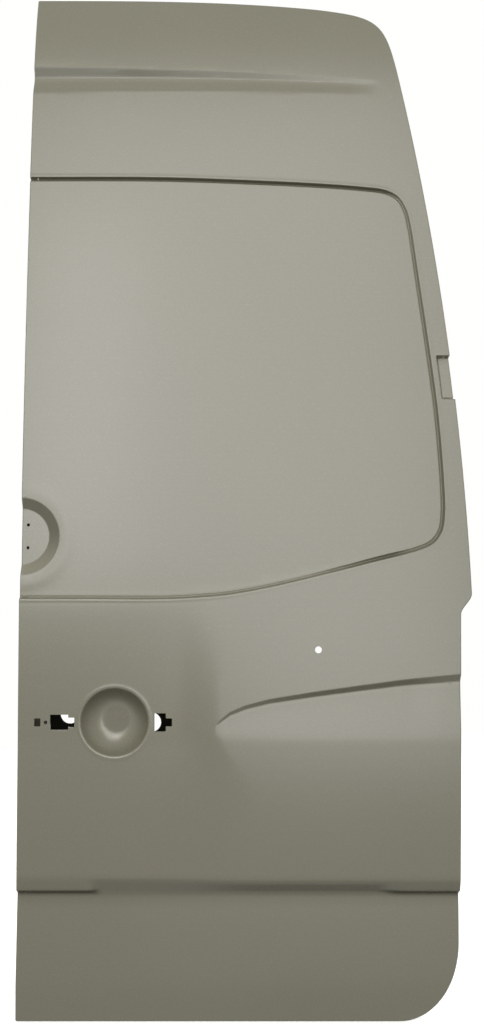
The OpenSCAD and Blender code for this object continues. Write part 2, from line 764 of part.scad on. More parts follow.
// Hat-section braces across the window opening, with pads of mastic on their crowns
crown_d_in = skin_t + mastic_t + inner_t + seam;
module hat(l, d, from_x) {
    half = beam_w / 2;
    leg = half + beam_t;
    translate([from_x, 0, 0]) rotate([90, 0, 90]) linear_extrude(l) polygon([
        [0, -half], [0, half], [d, leg], [d, leg + foot_w], [d + beam_t, leg + foot_w],
        [d + beam_t, leg - beam_t], [beam_t, half - beam_t], [beam_t, beam_t - half],
        [d + beam_t, beam_t - leg], [d + beam_t, -leg - foot_w], [d, -leg - foot_w], [d, -leg]]);
}
module on_field(z, depth) {
    translate([0, field_y(z), z]) rotate([-body_tilt(z), 0, 0]) translate([0, depth, 0]) children();
}
function brace_z(share) = lerp(window_foot_z, window_top_z, share);
module brace(z) {
    color([0.5, 0.5, 0.47]) intersection() {
        on_field(z, crown_d_in) hat(door_w, beam_d, 0);
        along_y(grown(window_opening, -seam), -over, lean_d + over);
    }
}
module brace_mastic(z) {
    from = stile_x + 2 * rebate_w;
    to = frame_x(z) - stile_x - 2 * rebate_w - pad_l;
    color([0.2, 0.2, 0.2]) on_field(z, skin_t + seam) for (i = [0 : pads_n - 1])
        translate([lerp(from, to, i / (pads_n - 1)), 0, -pad_w / 2])
            cube([pad_l, crown_d_in - skin_t - 2 * seam, pad_w]);
}
module upper_brace() brace(brace_z(upper_brace_share));
module middle_brace() brace(brace_z(middle_brace_share));
module lower_brace() brace(brace_z(lower_brace_share));
module upper_brace_mastic() brace_mastic(brace_z(upper_brace_share));
module middle_brace_mastic() brace_mastic(brace_z(middle_brace_share));
module lower_brace_mastic() brace_mastic(brace_z(lower_brace_share));

// Hat-section beam along the inside of the waist rail, its feet against the panel's face
module waist_beam() {
    z = (middle_top_z + window_foot_z) / 2;
    from = flange_w + land_w + inner_t + 2 * beam_t;
    color([0.5, 0.5, 0.47]) translate([0, body_y(z), z]) rotate([-body_tilt(z), 0, 0])
        translate([0, door_d - inner_t - 2 * seam - beam_t - beam_d, 0])
            hat(frame_x(z) - 2 * from, beam_d, from);
}

// Sheet behind the skin that stiffens it round the finger dish and the slots
module handle_plate() {
    outline_points = rounded([
        [handle_plate_x, dish_z - handle_plate_h / 2],
        [handle_plate_x + handle_plate_l, dish_z - handle_plate_h / 2],
        [handle_plate_x + handle_plate_l, dish_z + handle_plate_h / 2],
        [handle_plate_x, dish_z + handle_plate_h / 2]], land_w);
    color([0.5, 0.5, 0.47]) difference() {
        intersection() {
            along_y(outline_points, -over, lean_d);
            skin_layer(skin_t + seam, skin_t + seam + beam_t);
        }
        hole_y(dish_x, dish_z, dish_r + plate_t);
        handle_holes(beam_t);
    }
}

// Reinforcing plates, pressed to nest inside the walls and the land of the inner panel
nest_g = inner_t + seam;
module nested_plate(from_x, to_x, from_z, to_z) {
    color([0.45, 0.45, 0.43]) difference() {
        intersection() {
            pan(nest_g, -over);
            translate([from_x, -over, from_z])
                cube([to_x - from_x, lean_d + 2 * over, to_z - from_z]);
            behind_body(rim_d);
        }
        pan(nest_g + plate_t, -2 * over);
        pocket_cut(rim_d);
        edge_cuts();
    }
}
land_in = flange_w + land_w * 3 / 4;
module hinge_plate(z) {
    half = hinge_plate_h / 2;
    nested_plate(frame_x(z) - land_in, door_w + over, z - half, z + half);
}
module upper_hinge_plate() hinge_plate(upper_hinge_z);
module lower_hinge_plate() hinge_plate(lower_hinge_z);
module check_plate() {
    half = lock_pitch / 2;
    nested_plate(frame_x(check_z) - land_in, door_w + over, check_z - half, check_z + half);
}
module lock_plate() {
    nested_plate(0, land_in, lock_z - lock_pitch, lock_z + lock_pitch);
}
module bottom_latch_plate() {
    nested_plate(latch_x - latch_pitch, latch_x + latch_pitch, 0, land_in);
}
module top_latch_plate() {
    nested_plate(latch_x - latch_pitch, latch_x + latch_pitch, door_h - land_in, door_h);
}

// Weld nuts behind the plates, drawn with their bores at the bolt holes' size
nut_set = nest_g + plate_t + seam;
module nut() {
    difference() {
        cylinder(h = nut_h, r = nut_w / 2 / cos(30), $fn = 6);
        translate([0, 0, -nut_h]) cylinder(h = 3 * nut_h, r = bolt_r);
    }
}
module nut_pair(place, turn, along) {
    color([0.7, 0.7, 0.68]) for (side = [-1, 1])
        translate(place + side * along / 2) rotate(turn) nut();
}
module hinge_nuts(z) {
    nut_pair([seat_x(z) - nut_set, seat_y(z), z], [0, -90, 0], [0, 0, hinge_pitch]);
}
module upper_hinge_nuts() hinge_nuts(upper_hinge_z);
module lower_hinge_nuts() hinge_nuts(lower_hinge_z);
module lock_nuts() nut_pair([flange_w + nut_set, lock_y, lock_z], [0, 90, 0], [0, 0, lock_pitch]);
module check_nuts() {
    x = frame_x(check_z) - flange_w - nut_set - seam;
    nut_pair([x, check_y, check_z], [0, -90, 0], [0, 0, latch_pitch]);
}
module bottom_latch_nuts() {
    nut_pair([latch_x, bottom_latch_y, flange_w + nut_set], [0, 0, 0], [latch_pitch, 0, 0]);
}
module top_latch_nuts() {
    nut_pair([latch_x, top_latch_y, top_z(latch_x + latch_pitch) - flange_w - nut_set], [0, 180, 0],
        [latch_pitch, 0, 0]);
}

// The door is moved so that the middle of the upper hinge seat is at the origin
module placed() {
    translate([-seat_x(upper_hinge_z), -seat_y(upper_hinge_z), -upper_hinge_z]) children();
}
placed() outer_skin();
placed() inner_panel();
placed() window_mastic();
placed() upper_brace();
placed() middle_brace();
placed() lower_brace();
placed() upper_brace_mastic();
placed() middle_brace_mastic();
placed() lower_brace_mastic();
placed() waist_beam();
placed() handle_plate();
placed() upper_hinge_plate();
placed() lower_hinge_plate();
placed() upper_hinge_nuts();
placed() lower_hinge_nuts();
placed() lock_plate();
placed() lock_nuts();
placed() top_latch_plate();
placed() top_latch_nuts();
placed() bottom_latch_plate();
placed() bottom_latch_nuts();
placed() check_plate();
placed() check_nuts();
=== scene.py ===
import math

import bpy
import numpy as np
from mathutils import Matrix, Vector
from mathutils.geometry import delaunay_2d_cdt


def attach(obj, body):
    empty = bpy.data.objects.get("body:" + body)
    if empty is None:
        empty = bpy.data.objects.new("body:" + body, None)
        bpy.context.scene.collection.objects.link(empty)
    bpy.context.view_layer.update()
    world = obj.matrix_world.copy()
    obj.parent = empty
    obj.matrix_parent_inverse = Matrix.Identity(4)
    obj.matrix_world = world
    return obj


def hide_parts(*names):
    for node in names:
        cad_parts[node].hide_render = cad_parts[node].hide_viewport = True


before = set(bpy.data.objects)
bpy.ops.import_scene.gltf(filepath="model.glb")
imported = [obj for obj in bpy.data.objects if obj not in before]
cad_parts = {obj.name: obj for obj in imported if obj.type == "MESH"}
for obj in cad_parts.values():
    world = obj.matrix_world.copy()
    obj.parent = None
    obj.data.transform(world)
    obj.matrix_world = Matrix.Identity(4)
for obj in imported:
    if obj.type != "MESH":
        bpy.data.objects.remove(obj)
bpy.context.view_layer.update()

# All lengths below are millimetres in the door's own axes: x from the centre edge, y inwards
# from the outer face, z up from the foot. place() moves them to the frame, in metres.
ORIGIN = np.array([767.886, 108.906, 1136.0])
MM = 0.001

DOOR_H = 1887.0
SKIN_T = 0.9
RIM_D = 3.2
HEM_W = 12.0
LEDGE_TOP, LEDGE_FOOT, LEDGE_D = 248.0, 214.0, 13.0
SKIN_LEDGE_D = 18.0
UPRIGHT_D = 8.0
FIELD_TOP, FIELD_FOOT = 1518.0, 736.0
HIP_Z, SHOULDER_Z = 746.0, 1712.0
FOOT_W, HIP_FOOT_W, HIP_FOOT_Z = 778, 786, 708
CORNER_X, CORNER_W, CORNER_H = 673, 105, 140
TOP_CORNER = [(696, SHOULDER_Z), (672, 1838), (664.8, 1848.3), (540, 1866)]
SHEET_LOW, SHEET_HIGH = (0, 0), (808, 1888)
BADGE_Z, BADGE_HOLE_X = 847, 11.5
DISH_X, DISH_Z, DISH_D = 171, 519, 30
DISH_BALL_R, DISH_BALL_OUT = 68.4, 32.85
HINGE_ZS = (1136, 330)
RIM_R, HEM_R = 2.0, 1.4
PLATE_GAP, PLATE_T = 0.2, 1.2
ACCESS_R = 17.5
LAND_D, FACE_D = 56, 74


def place(points):
    return (np.asarray(points, float) - ORIGIN) * MM


def smooth(t):
    t = np.clip(t, 0, 1)
    return t * t * (3 - 2 * t)


def ramp(t, r=0.25):
    """A straight ramp from 0 to 1 with both ends rounded over the share r."""
    t = np.clip(t, 0, 1)
    s = 1 / (1 - r)
    low = s * t * t / (2 * r)
    high = 1 - s * (1 - t) ** 2 / (2 * r)
    return np.where(t < r, low, np.where(t > 1 - r, high, s * (t - r / 2)))


def body_y(z):
    skirt = LEDGE_D * (np.maximum(0, z - 60) / 154) ** 2
    rise = (z - LEDGE_TOP) / (DOOR_H - LEDGE_TOP)
    roll = np.maximum(0, z - FIELD_TOP) / (DOOR_H - FIELD_TOP)
    lean = 63 * rise + 128 * rise ** 2 + 15 * roll ** 5
    return np.where(z < LEDGE_FOOT, skirt, np.where(z < LEDGE_TOP, 0, lean))


def upper_edge_x(z):
    t = (z - HIP_Z) / (SHOULDER_Z - HIP_Z)
    return 806 - 34 * t - 76 * t ** 2


def lower_edge_x(z):
    return FOOT_W + 8 * (z - CORNER_H) / 568


def edge_x(z):
    hip = HIP_FOOT_W + 20 * (1 - np.cos(np.pi * np.clip((z - HIP_FOOT_Z) / 38, 0, 1))) / 2
    return np.where(z < HIP_FOOT_Z, lower_edge_x(z), np.where(z < HIP_Z, hip, upper_edge_x(z)))


def top_z(x):
    return DOOR_H - 21 * (np.abs(x) / 540) ** 3


def bezier(p, n):
    t = np.linspace(0, 1, n)[:, None]
    a, b, c, d = (np.array(q, float) for q in p)
    return a * (1 - t) ** 3 + 3 * b * t * (1 - t) ** 2 + 3 * c * t ** 2 * (1 - t) + d * t ** 3


def stations(start, end, coarse, fine, zones):
    """Places from start to end, close together inside the zones."""
    out, v, sign = [start], start, 1 if end > start else -1
    while True:
        step = fine if any(a - coarse < v < b + coarse for a, b in zones) else coarse
        v += sign * step
        if (end - v) * sign < step / 2:
            break
        out.append(v)
    return np.array(out)


def quarter(n=4):
    return np.radians(np.linspace(0, 90, n + 1))


def bottom_corner(n):
    a = quarter(n)
    return np.c_[CORNER_X + CORNER_W * np.sin(a), CORNER_H * (1 - np.cos(a))]


def unit(v):
    return v / np.linalg.norm(v, axis=1)[:, None]


# Heights at which the two upright edges bend and need corners close together
CENTRE_ZONES = ((205, 255), (725, 745), (772, 922), (1505, 1522), (1703, 1745))
HINGE_ZONES = ((205, 255), (470, 604), (704, 750), (1090, 1182))


def door_outline():
    """Corners of the door's edge in x and z, from the foot of the centre edge round the hinge edge."""
    r = 3.0
    a = quarter()
    foot_corner = np.c_[r - r * np.cos(a), r - r * np.sin(a)]
    foot = stations(r, CORNER_X, 12, 12, ())[1:]
    z = stations(CORNER_H, SHOULDER_Z, 12, 2, HINGE_ZONES)[1:]
    hinge = np.c_[edge_x(z), z]
    top_corner = bezier(TOP_CORNER, 26)
    x = stations(540, r, 12, 12, ())[1:]
    top = np.c_[x, top_z(x)]
    top_left = np.c_[r - r * np.sin(a), DOOR_H - r + r * np.cos(a)]
    z = stations(DOOR_H - r, r, 10, 2, CENTRE_ZONES)[1:]
    centre = np.c_[0 * z, z]
    return np.concatenate([foot_corner, np.c_[foot, 0 * foot], bottom_corner(21), hinge,
                           top_corner, top, top_left, centre])


def turned_in(points, d):
    """The same corners moved inwards by d, square at the centre edge."""
    before, after = np.roll(points, 1, 0), np.roll(points, -1, 0)
    a, b = points - before, after - points
    a = unit(a)
    b = unit(b)
    n = np.c_[-(a[:, 1] + b[:, 1]), a[:, 0] + b[:, 0]]
    n = unit(n)
    out = points + n * d
    out[:, 0] = np.maximum(out[:, 0], d)
    out[:, 1] = np.clip(out[:, 1], d, top_z(out[:, 0]) - d)
    return out


def curve_through(points, n):
    """A smooth open curve through points, with n steps between neighbours."""
    p = np.array(points, float)
    p = np.concatenate([[2 * p[0] - p[1]], p, [2 * p[-1] - p[-2]]])
    out = []
    for i in range(1, len(p) - 2):
        p0, p1, p2, p3 = p[i - 1:i + 3]
        t0 = 0.0
        t1 = t0 + np.linalg.norm(p1 - p0) ** 0.5
        t2 = t1 + np.linalg.norm(p2 - p1) ** 0.5
        t3 = t2 + np.linalg.norm(p3 - p2) ** 0.5
        for t in np.linspace(t1, t2, n, endpoint=False):
            a1 = (t1 - t) / (t1 - t0) * p0 + (t - t0) / (t1 - t0) * p1
            a2 = (t2 - t) / (t2 - t1) * p1 + (t - t1) / (t2 - t1) * p2
            a3 = (t3 - t) / (t3 - t2) * p2 + (t - t2) / (t3 - t2) * p3
            b1 = (t2 - t) / (t2 - t0) * a1 + (t - t0) / (t2 - t0) * a2
            b2 = (t3 - t) / (t3 - t1) * a2 + (t - t1) / (t3 - t1) * a3
            out.append((t2 - t) / (t2 - t1) * b1 + (t - t1) / (t2 - t1) * b2)
    out.append(p[-2])
    return np.array(out)


FIELD = curve_through([
    (-100, 736), (100, 736), (270, 736), (322, 739), (350, 741), (379, 744.5), (438, 755), (517, 773),
    (626, 800), (718, 824), (741, 836), (756, 858), (761, 890), (761, 930), (753, 1064), (744, 1149),
    (735, 1225), (722, 1330), (711, 1420), (703, 1455), (689, 1479), (666, 1492), (617, 1499),
    (524, 1506), (402, 1512), (300, 1516), (200, 1518), (0, 1518), (-100, 1518)], 5)


def inside(points, polygon):
    x, z = points[:, 0], points[:, 1]
    hit = np.zeros(len(points), bool)
    a, b = polygon, np.roll(polygon, -1, 0)
    for (x0, z0), (x1, z1) in zip(a, b):
        if z0 == z1:
            continue
        cross = ((z0 > z) != (z1 > z)) & (x < (x1 - x0) * (z - z0) / (z1 - z0) + x0)
        hit ^= cross
    return hit


def away_from(points, line):
    """Distance from each point to an open line of corners."""
    best = np.full(len(points), 1e9)
    for p, q in zip(line[:-1], line[1:]):
        d = q - p
        if not d.any():
            continue
        t = np.clip(((points - p) @ d) / (d @ d), 0, 1)
        off = points - p - t[:, None] * d
        best = np.minimum(best, np.einsum("ij,ij->i", off, off))
    return np.sqrt(best)


def field_in(points):
    """Distance into the window field, negative outside it."""
    return np.where(inside(points, FIELD), 1, -1) * away_from(points, FIELD)


SWAGE = np.array([(344, 517), (354, 521), (363, 529), (376, 539), (402, 550), (444, 561), (520, 573.5),
                  (596, 584), (681, 595.5), (784, 605.5), (850, 611.5)], float)
SWAGE_SHARES = ((350, 372, 410, 480, 560, 700, 745, 784), (0, 0.32, 0.55, 0.8, 1.0, 1.15, 0.95, 0.9))


def hill(v, width):
    """1 at 0, falling away on both sides."""
    return np.exp(-(v / width) ** 2)


def plateau(v, width):
    """Like hill, with a flat top and steeper sides."""
    return np.exp(-(v / width) ** 4)


def ledge_share(z):
    return (LEDGE_TOP - z) / (LEDGE_TOP - LEDGE_FOOT)


def base_y(x, z):
    """The plain face, with the skin's own ledge and skirt."""
    u = ledge_share(z)
    even = ramp(u, 0.3)
    stepped = 0.36 * ramp(u / 0.95, 0.3) + 0.64 * ramp((u - 0.58) / 0.34, 0.3)
    # Even in the middle, with a tight step near both edges
    tight = np.maximum(smooth((146 - x) / 22), smooth((x - 628) / 60))
    ledge = SKIN_LEDGE_D * (even + (stepped - even) * tight)
    skirt = SKIN_LEDGE_D * (np.hypot(z - 60, 18) + z - 60) / 309
    return np.where(z < LEDGE_FOOT, skirt, np.where(z < LEDGE_TOP, ledge, body_y(z)))


def upright_y(x, z):
    """The upright panel under the window field, on the lock side."""
    wide = 76 + 150 * smooth((510 - z) / 140)
    side = smooth((322 + wide / 2 - x) / wide)
    down = ramp((732 - z) / 260, 0.06)
    above = np.where(z < LEDGE_TOP, 1 - ramp(ledge_share(z), 0.3), 1)
    return UPRIGHT_D * side * down * above


def groove_parts(x, z):
    """1 along the foot of the groove, and 1 along its hinge side."""
    foot = 1 - smooth((z - 770) / 60)
    return foot, smooth((x - 655) / 45) * (1 - foot)


def field_d(z):
    return 7 - 5 * (z - FIELD_FOOT) / (FIELD_TOP - FIELD_FOOT)


def field_y(x, z):
    """The window field and the groove round it, with a slight swell outside."""
    f = field_in(np.c_[x, z])
    foot, side = groove_parts(x, z)
    outer_w, inner_w = 4.2 - 1.2 * foot, 4.6 - 1.2 * foot - 1.0 * side
    groove_d = 5.2 - 4.4 * foot - 3.2 * side
    down, up = ramp(f / outer_w, 0.25), ramp((f - outer_w) / inner_w, 0.2)
    return field_d(z) * down + groove_d * (down - up) - 0.35 * (1 - 0.8 * side) * hill(f + 2.0, 2.4)


def badge_y(x, z):
    """The badge dish, with a slight swell round it."""
    r = np.hypot(x, z - BADGE_Z)
    return 9.5 * (1 - ramp((r - 49) / 21, 0.1)) - 0.8 * hill(r - 84, 13)


def dish_y(x, z):
    """The finger dish: part of a ball, with a soft rim and a flat floor."""
    r = np.hypot(x - DISH_X, z - DISH_Z)
    bowl = np.sqrt(np.maximum(0, DISH_BALL_R ** 2 - r ** 2)) - DISH_BALL_OUT
    bowl = np.where(r < 66, bowl, -40)
    bowl = np.where(bowl > 12, bowl, 1.1 * np.log1p(np.exp(bowl / 1.1)))
    bowl = np.where(bowl < 18, bowl, DISH_D - 1.3 * np.log1p(np.exp((DISH_D - bowl) / 1.3)))
    return bowl - 0.5 * hill(r - 63.5, 3)


def pocket_y(x, z):
    """The pocket that clears the upper hinge."""
    across = (x - (edge_x(z) - 25)) / 5
    along = (41 - np.abs(z - HINGE_ZS[0])) / 5
    return 16 * ramp(np.minimum(across, along), 0.3)


def crease_at(x):
    """How far along the crease x is, and the crease's upper edge and height there."""
    s = np.clip(x / 657, 0, 1)
    return s, 1741 - 4 * s - 24 * s ** 2, 21 - 13 * s


def crease_y(x, z):
    """The crease under the roof."""
    s, top, high = crease_at(x)
    deep = 8 * np.interp(s, [0, 0.3, 0.62, 0.92, 1], [1, 1, 0.6, 0.22, 0])
    return deep * ramp((top - z) / high, 0.2) * (1 - smooth((top - z - high - 1) / (34 - 10 * s)))


def swage_at(x):
    """The height of the swage line, and the height of the band beneath it."""
    return np.interp(x, SWAGE[:, 0], SWAGE[:, 1]), np.interp(x, [345, 385, 500, 784], [5, 8, 11, 15])


def swage_y(x, z):
    line, band = swage_at(x)
    deep = 9 * np.interp(x, *SWAGE_SHARES)
    run = np.maximum(line - band - 486, 22)
    return deep * ramp((line - z) / band, 0.2) * (1 - smooth((line - z - band) / run))


SHAPES = (base_y, upright_y, field_y, badge_y, dish_y, pocket_y, crease_y, swage_y)


def depth(x, z):
    """Depth of the door's outer surface."""
    shape = np.broadcast(x, z).shape
    x, z = (np.broadcast_to(v, shape).astype(float).ravel() for v in (x, z))
    return sum(shape_y(x, z) for shape_y in SHAPES).reshape(shape)


# Painted shade: darkens the crease under the roof, with painted highlight lines along its upper and lower
# edges
def crease_tone(x, z):
    s, top, high = crease_at(x)
    u = (top - z) / high
    share = np.interp(s, [0, 0.62, 0.92, 1], [1, 0.7, 0.25, 0])
    painted_shading = 0.62 * smooth((u + 0.05) / 0.15) * (1 - smooth((u - 0.8) / 0.3))
    return share * (painted_shading - 0.3 * (hill(top - z + 2.5, 2) + hill(top - z - high - 5, 4)))


# Painted shade: a dark band under the swage line, with a painted highlight line beneath it
def swage_tone(x, z):
    line, band = swage_at(x)
    u = (line - z) / band
    painted_shading = 0.2 * smooth(u / 0.12) * (1 - smooth((u - 0.8) / 0.3))
    return smooth((x - 350) / 14) * (painted_shading - 0.3 * hill(line - z - band - 3, 2.5))


# Painted shade: darkens the ledge band, with a narrower darker band near both edges
def ledge_tone(x, z):
    ends = np.maximum(smooth((152 - x) / 14), smooth((x - 640) / 30))
    ledge = smooth((LEDGE_TOP + 3 - z) / 6) * smooth((z - LEDGE_FOOT + 12) / 10)
    return 0.25 * ledge + 0.5 * ends * plateau(z - 221, 6)


# Painted shade and highlight in the finger dish: a darker floor disc and upper wall, with a painted
# highlight crescent low on the left and along the lower rim
def dish_tone(x, z):
    r = np.hypot(x - DISH_X, z - DISH_Z)
    turn = np.degrees(np.arctan2(z - DISH_Z, x - DISH_X))
    low_left = plateau(np.mod(turn + 360, 360) - 245, 62)
    tone = 0.25 * (1 - smooth((r - 22) / 5)) - 0.75 * low_left * hill(r - 31, 4)
    tone -= 0.5 * smooth((DISH_Z - z + 30) / 60) * hill(r - 61.5, 1.8)
    return tone + 0.35 * smooth((z - DISH_Z + 20) / 60) * plateau(r - 46, 14)


# Painted shade and highlight on the badge dish: its wall darker at the top and lighter at the bottom, with a
# painted highlight along the lower outer rim
def badge_tone(x, z):
    r = np.hypot(x, z - BADGE_Z)
    wall = smooth((r - 48) / 3) * (1 - smooth((r - 68) / 3))
    return (0.75 * smooth((z - 790) / 70) - 0.3) * wall - 0.35 * smooth((BADGE_Z - z) / 40) * hill(r - 72, 2)


# Painted shade along the groove round the window field, except at its foot, where the groove and the lines
# on both sides get painted highlight
def groove_tone(x, z):
    f = field_in(np.c_[x, z])
    foot, side = groove_parts(x, z)
    tone = 0.7 * (1 - 1.3 * foot) * (1 - 0.9 * side) * plateau(f - 4 + foot, 3.8 - foot)
    return tone - 0.3 * foot * (hill(f + 2, 1.6) + hill(f - 12, 3))


TONES = (crease_tone, swage_tone, ledge_tone, dish_tone, badge_tone, groove_tone)


def painted_light_tone(x, z):
    """Painted light: above 0 paints shade into creases, grooves and dish walls, below 0 paints highlight
    lines along crests and rims.
    """
    return sum(part_tone(x, z) for part_tone in TONES)


def slope_normals(x, z, turn=1.0, height=None):
    height = height or depth
    e = 0.35
    gx = (height(x + e, z) - height(x - e, z)) / (2 * e)
    gz = (height(x, z + e) - height(x, z - e)) / (2 * e)
    n = np.c_[gx, -np.ones_like(gx), gz] * turn
    return unit(n)


def adaptive(height, low, high, start, levels, tol):
    """Corners of squares that are split until the surface in each is nearly flat."""
    xs = np.arange(low[0], high[0], start)
    zs = np.arange(low[1], high[1], start)
    cells = np.stack(np.meshgrid(xs, zs), -1).reshape(-1, 2)
    size, kept = float(start), []
    t = np.linspace(0, 1, 5)
    gx, gz = (g.ravel() for g in np.meshgrid(t, t))
    for level in range(levels + 1):
        corners = np.concatenate([cells + [i * size, j * size] for i in (0, 1) for j in (0, 1)])
        kept.append(corners)
        if level == levels:
            break
        h = height(cells[:, :1] + gx * size, cells[:, 1:] + gz * size)
        c = [h[:, [k]] for k in (0, 4, 20, 24)]
        flat = c[0] * (1 - gx) * (1 - gz) + c[1] * gx * (1 - gz) + c[2] * (1 - gx) * gz + c[3] * gx * gz
        split = cells[np.abs(h - flat).max(1) > tol]
        size /= 2
        cells = np.concatenate([split + [i * size, j * size] for i in (0, 1) for j in (0, 1)])
    points = np.concatenate(kept)
    return np.unique(np.round(points, 3), axis=0)


def near(points, loops, gap):
    """Which points lie closer than gap to one of the loops."""
    hit = np.zeros(len(points), bool)
    for loop in loops:
        low, high = loop.min(0) - gap, loop.max(0) + gap
        box = np.flatnonzero((points > low).all(1) & (points < high).all(1))
        if len(box):
            hit[box] |= away_from(points[box], np.concatenate([loop, loop[:1]])) < gap
    return hit


def beside(line, offsets, step):
    """Rows of points beside an open line, at those distances to its left."""
    length = np.r_[0, np.cumsum(np.linalg.norm(np.diff(line, axis=0), axis=1))]
    at = np.arange(0, length[-1], step)
    p = np.c_[np.interp(at, length, line[:, 0]), np.interp(at, length, line[:, 1])]
    d = np.gradient(p, axis=0)
    d = unit(d)
    n = np.c_[-d[:, 1], d[:, 0]]
    return np.concatenate([p + n * o for o in offsets])


def with_rows(points, line, offsets, step):
    """The points, with those near a line given up for rows beside it."""
    reach = max(abs(o) for o in offsets) + 1.5
    low, high = line.min(0) - reach, line.max(0) + reach
    box = np.flatnonzero((points > low).all(1) & (points < high).all(1))
    drop = np.zeros(len(points), bool)
    drop[box] = away_from(points[box], line) < reach
    return np.concatenate([points[~drop], beside(line, offsets, step)])


# Distances of the rows of corners beside the groove's outer edge and the swage line
GROOVE_ROWS = (-8, -5, -3.4, -2.0, -1, -0.3, 0.3, 0.9, 1.5, 2.1, 2.7, 3.2, 3.8, 4.5, 5.5, 6.6, 7.6,
               8.4, 9.2, 10.5)
SWAGE_ROWS = (-6, -3, -1.5, -0.5, 0.3, 1, 1.8, 2.6, 3.5, 4.5, 5.5, 6.5, 7.5, 8.5, 9.5, 10.5, 11.5,
              12.5, 13.5, 15, 18)


def sheet_faces(points, boundary, holes, gap=1.2):
    """Triangles over a flat region: the points used, then the corners of each triangle."""
    points = points[inside(points, boundary)]
    for hole in holes:
        points = points[~inside(points, hole)]
    loops = [boundary] + list(holes)
    points = points[~near(points, loops, gap)]
    verts, edges = [], []
    for loop in loops:
        n, k = len(verts), len(loop)
        verts += [tuple(p) for p in loop]
        edges += [(n + i, n + (i + 1) % k) for i in range(k)]
    verts += [tuple(p) for p in points]
    made = delaunay_2d_cdt([Vector(v) for v in verts], edges, [], 0, 1e-5, False)
    co = np.array([(v.x, v.y) for v in made[0]])
    tri = np.array(made[2])
    middle = co[tri].mean(1)
    keep = inside(middle, boundary)
    for hole in holes:
        keep &= ~inside(middle, hole)
    tri = tri[keep]
    a, b, c = (co[tri[:, i]] for i in range(3))
    area = (b[:, 0] - a[:, 0]) * (c[:, 1] - a[:, 1]) - (b[:, 1] - a[:, 1]) * (c[:, 0] - a[:, 0])
    flip = area < 0
    tri[flip] = tri[flip][:, ::-1]
    return co, tri[np.abs(area) > 1e-7]


class Mesh:
    """Gathers vertices, normals and faces of one piece."""

    def __init__(self):
        self.co, self.normals, self.faces, self.tone, self.count = [], [], [], [], 0

    def add(self, co, normals, faces, tone=None):
        self.tone.append(np.zeros(len(co)) if tone is None else tone)
        self.co.append(np.asarray(co, float))
        self.normals.append(np.asarray(normals, float))
        self.faces += (np.asarray(faces) + self.count).tolist()
        self.count += len(co)

    def strip(self, rows, normals, turn=False):
        """Quads between rows of corners, such as the rim of the door."""
        n = len(rows[0])
        faces = []
        for r in range(len(rows) - 1):
            i = np.arange(n)
            j = (i + 1) % n
            quad = np.c_[r * n + i, r * n + j, (r + 1) * n + j, (r + 1) * n + i]
            faces.append(quad[:, ::-1] if turn else quad)
        self.add(np.concatenate(rows), np.concatenate(normals), np.concatenate(faces))

    def object(self, name, material):
        mesh = bpy.data.meshes.new(name)
        mesh.from_pydata(place(np.concatenate(self.co)).tolist(), [], self.faces)
        mesh.update()
        mesh.polygons.foreach_set("use_smooth", np.ones(len(mesh.polygons), bool))
        mesh.normals_split_custom_set_from_vertices(np.concatenate(self.normals).tolist())
        # Painted light and shade for each point, read by the material
        mesh.attributes.new("painted_light", "FLOAT", "POINT").data.foreach_set("value", np.concatenate(self.tone))
        mesh.materials.append(material)
        obj = bpy.data.objects.new(name, mesh)
        bpy.context.scene.collection.objects.link(obj)
        return obj


def rectangle(x0, x1, z0, z1, r=0.8):
    """A rectangle with small round corners, anticlockwise."""
    out = []
    corners = ((x1 - r, z0 + r, -90), (x1 - r, z1 - r, 0), (x0 + r, z1 - r, 90), (x0 + r, z0 + r, 180))
    for cx, cz, a in corners:
        for k in range(4):
            t = math.radians(a + 30 * k)
            out.append((cx + r * math.cos(t), cz + r * math.sin(t)))
    return np.array(out)


def circle(x, z, r, n=24):
    a = np.linspace(0, 2 * np.pi, n, endpoint=False)
    return np.c_[x + r * np.cos(a), z + r * np.sin(a)]


SKIN_HOLES = [
    np.array([(57.5, 505.5), (89.5, 505.5), (89.5, 510.6), (105.5, 510.6), (105.5, 527.4), (89.5, 527.4),
              (89.5, 532.5), (57.5, 532.5)], float),
    rectangle(29.3, 40.3, 512, 526),
    circle(49.2, 519, 3.5),
    np.array([(242, 503), (262, 503), (262, 512), (273, 512), (273, 526), (262, 526), (262, 535),
              (242, 535)], float),
    circle(532, 647, 6),
    circle(BADGE_HOLE_X, BADGE_Z + 20.5, 2.8, 16),
    circle(BADGE_HOLE_X, BADGE_Z - 20.5, 2.8, 16),
]

# Materials


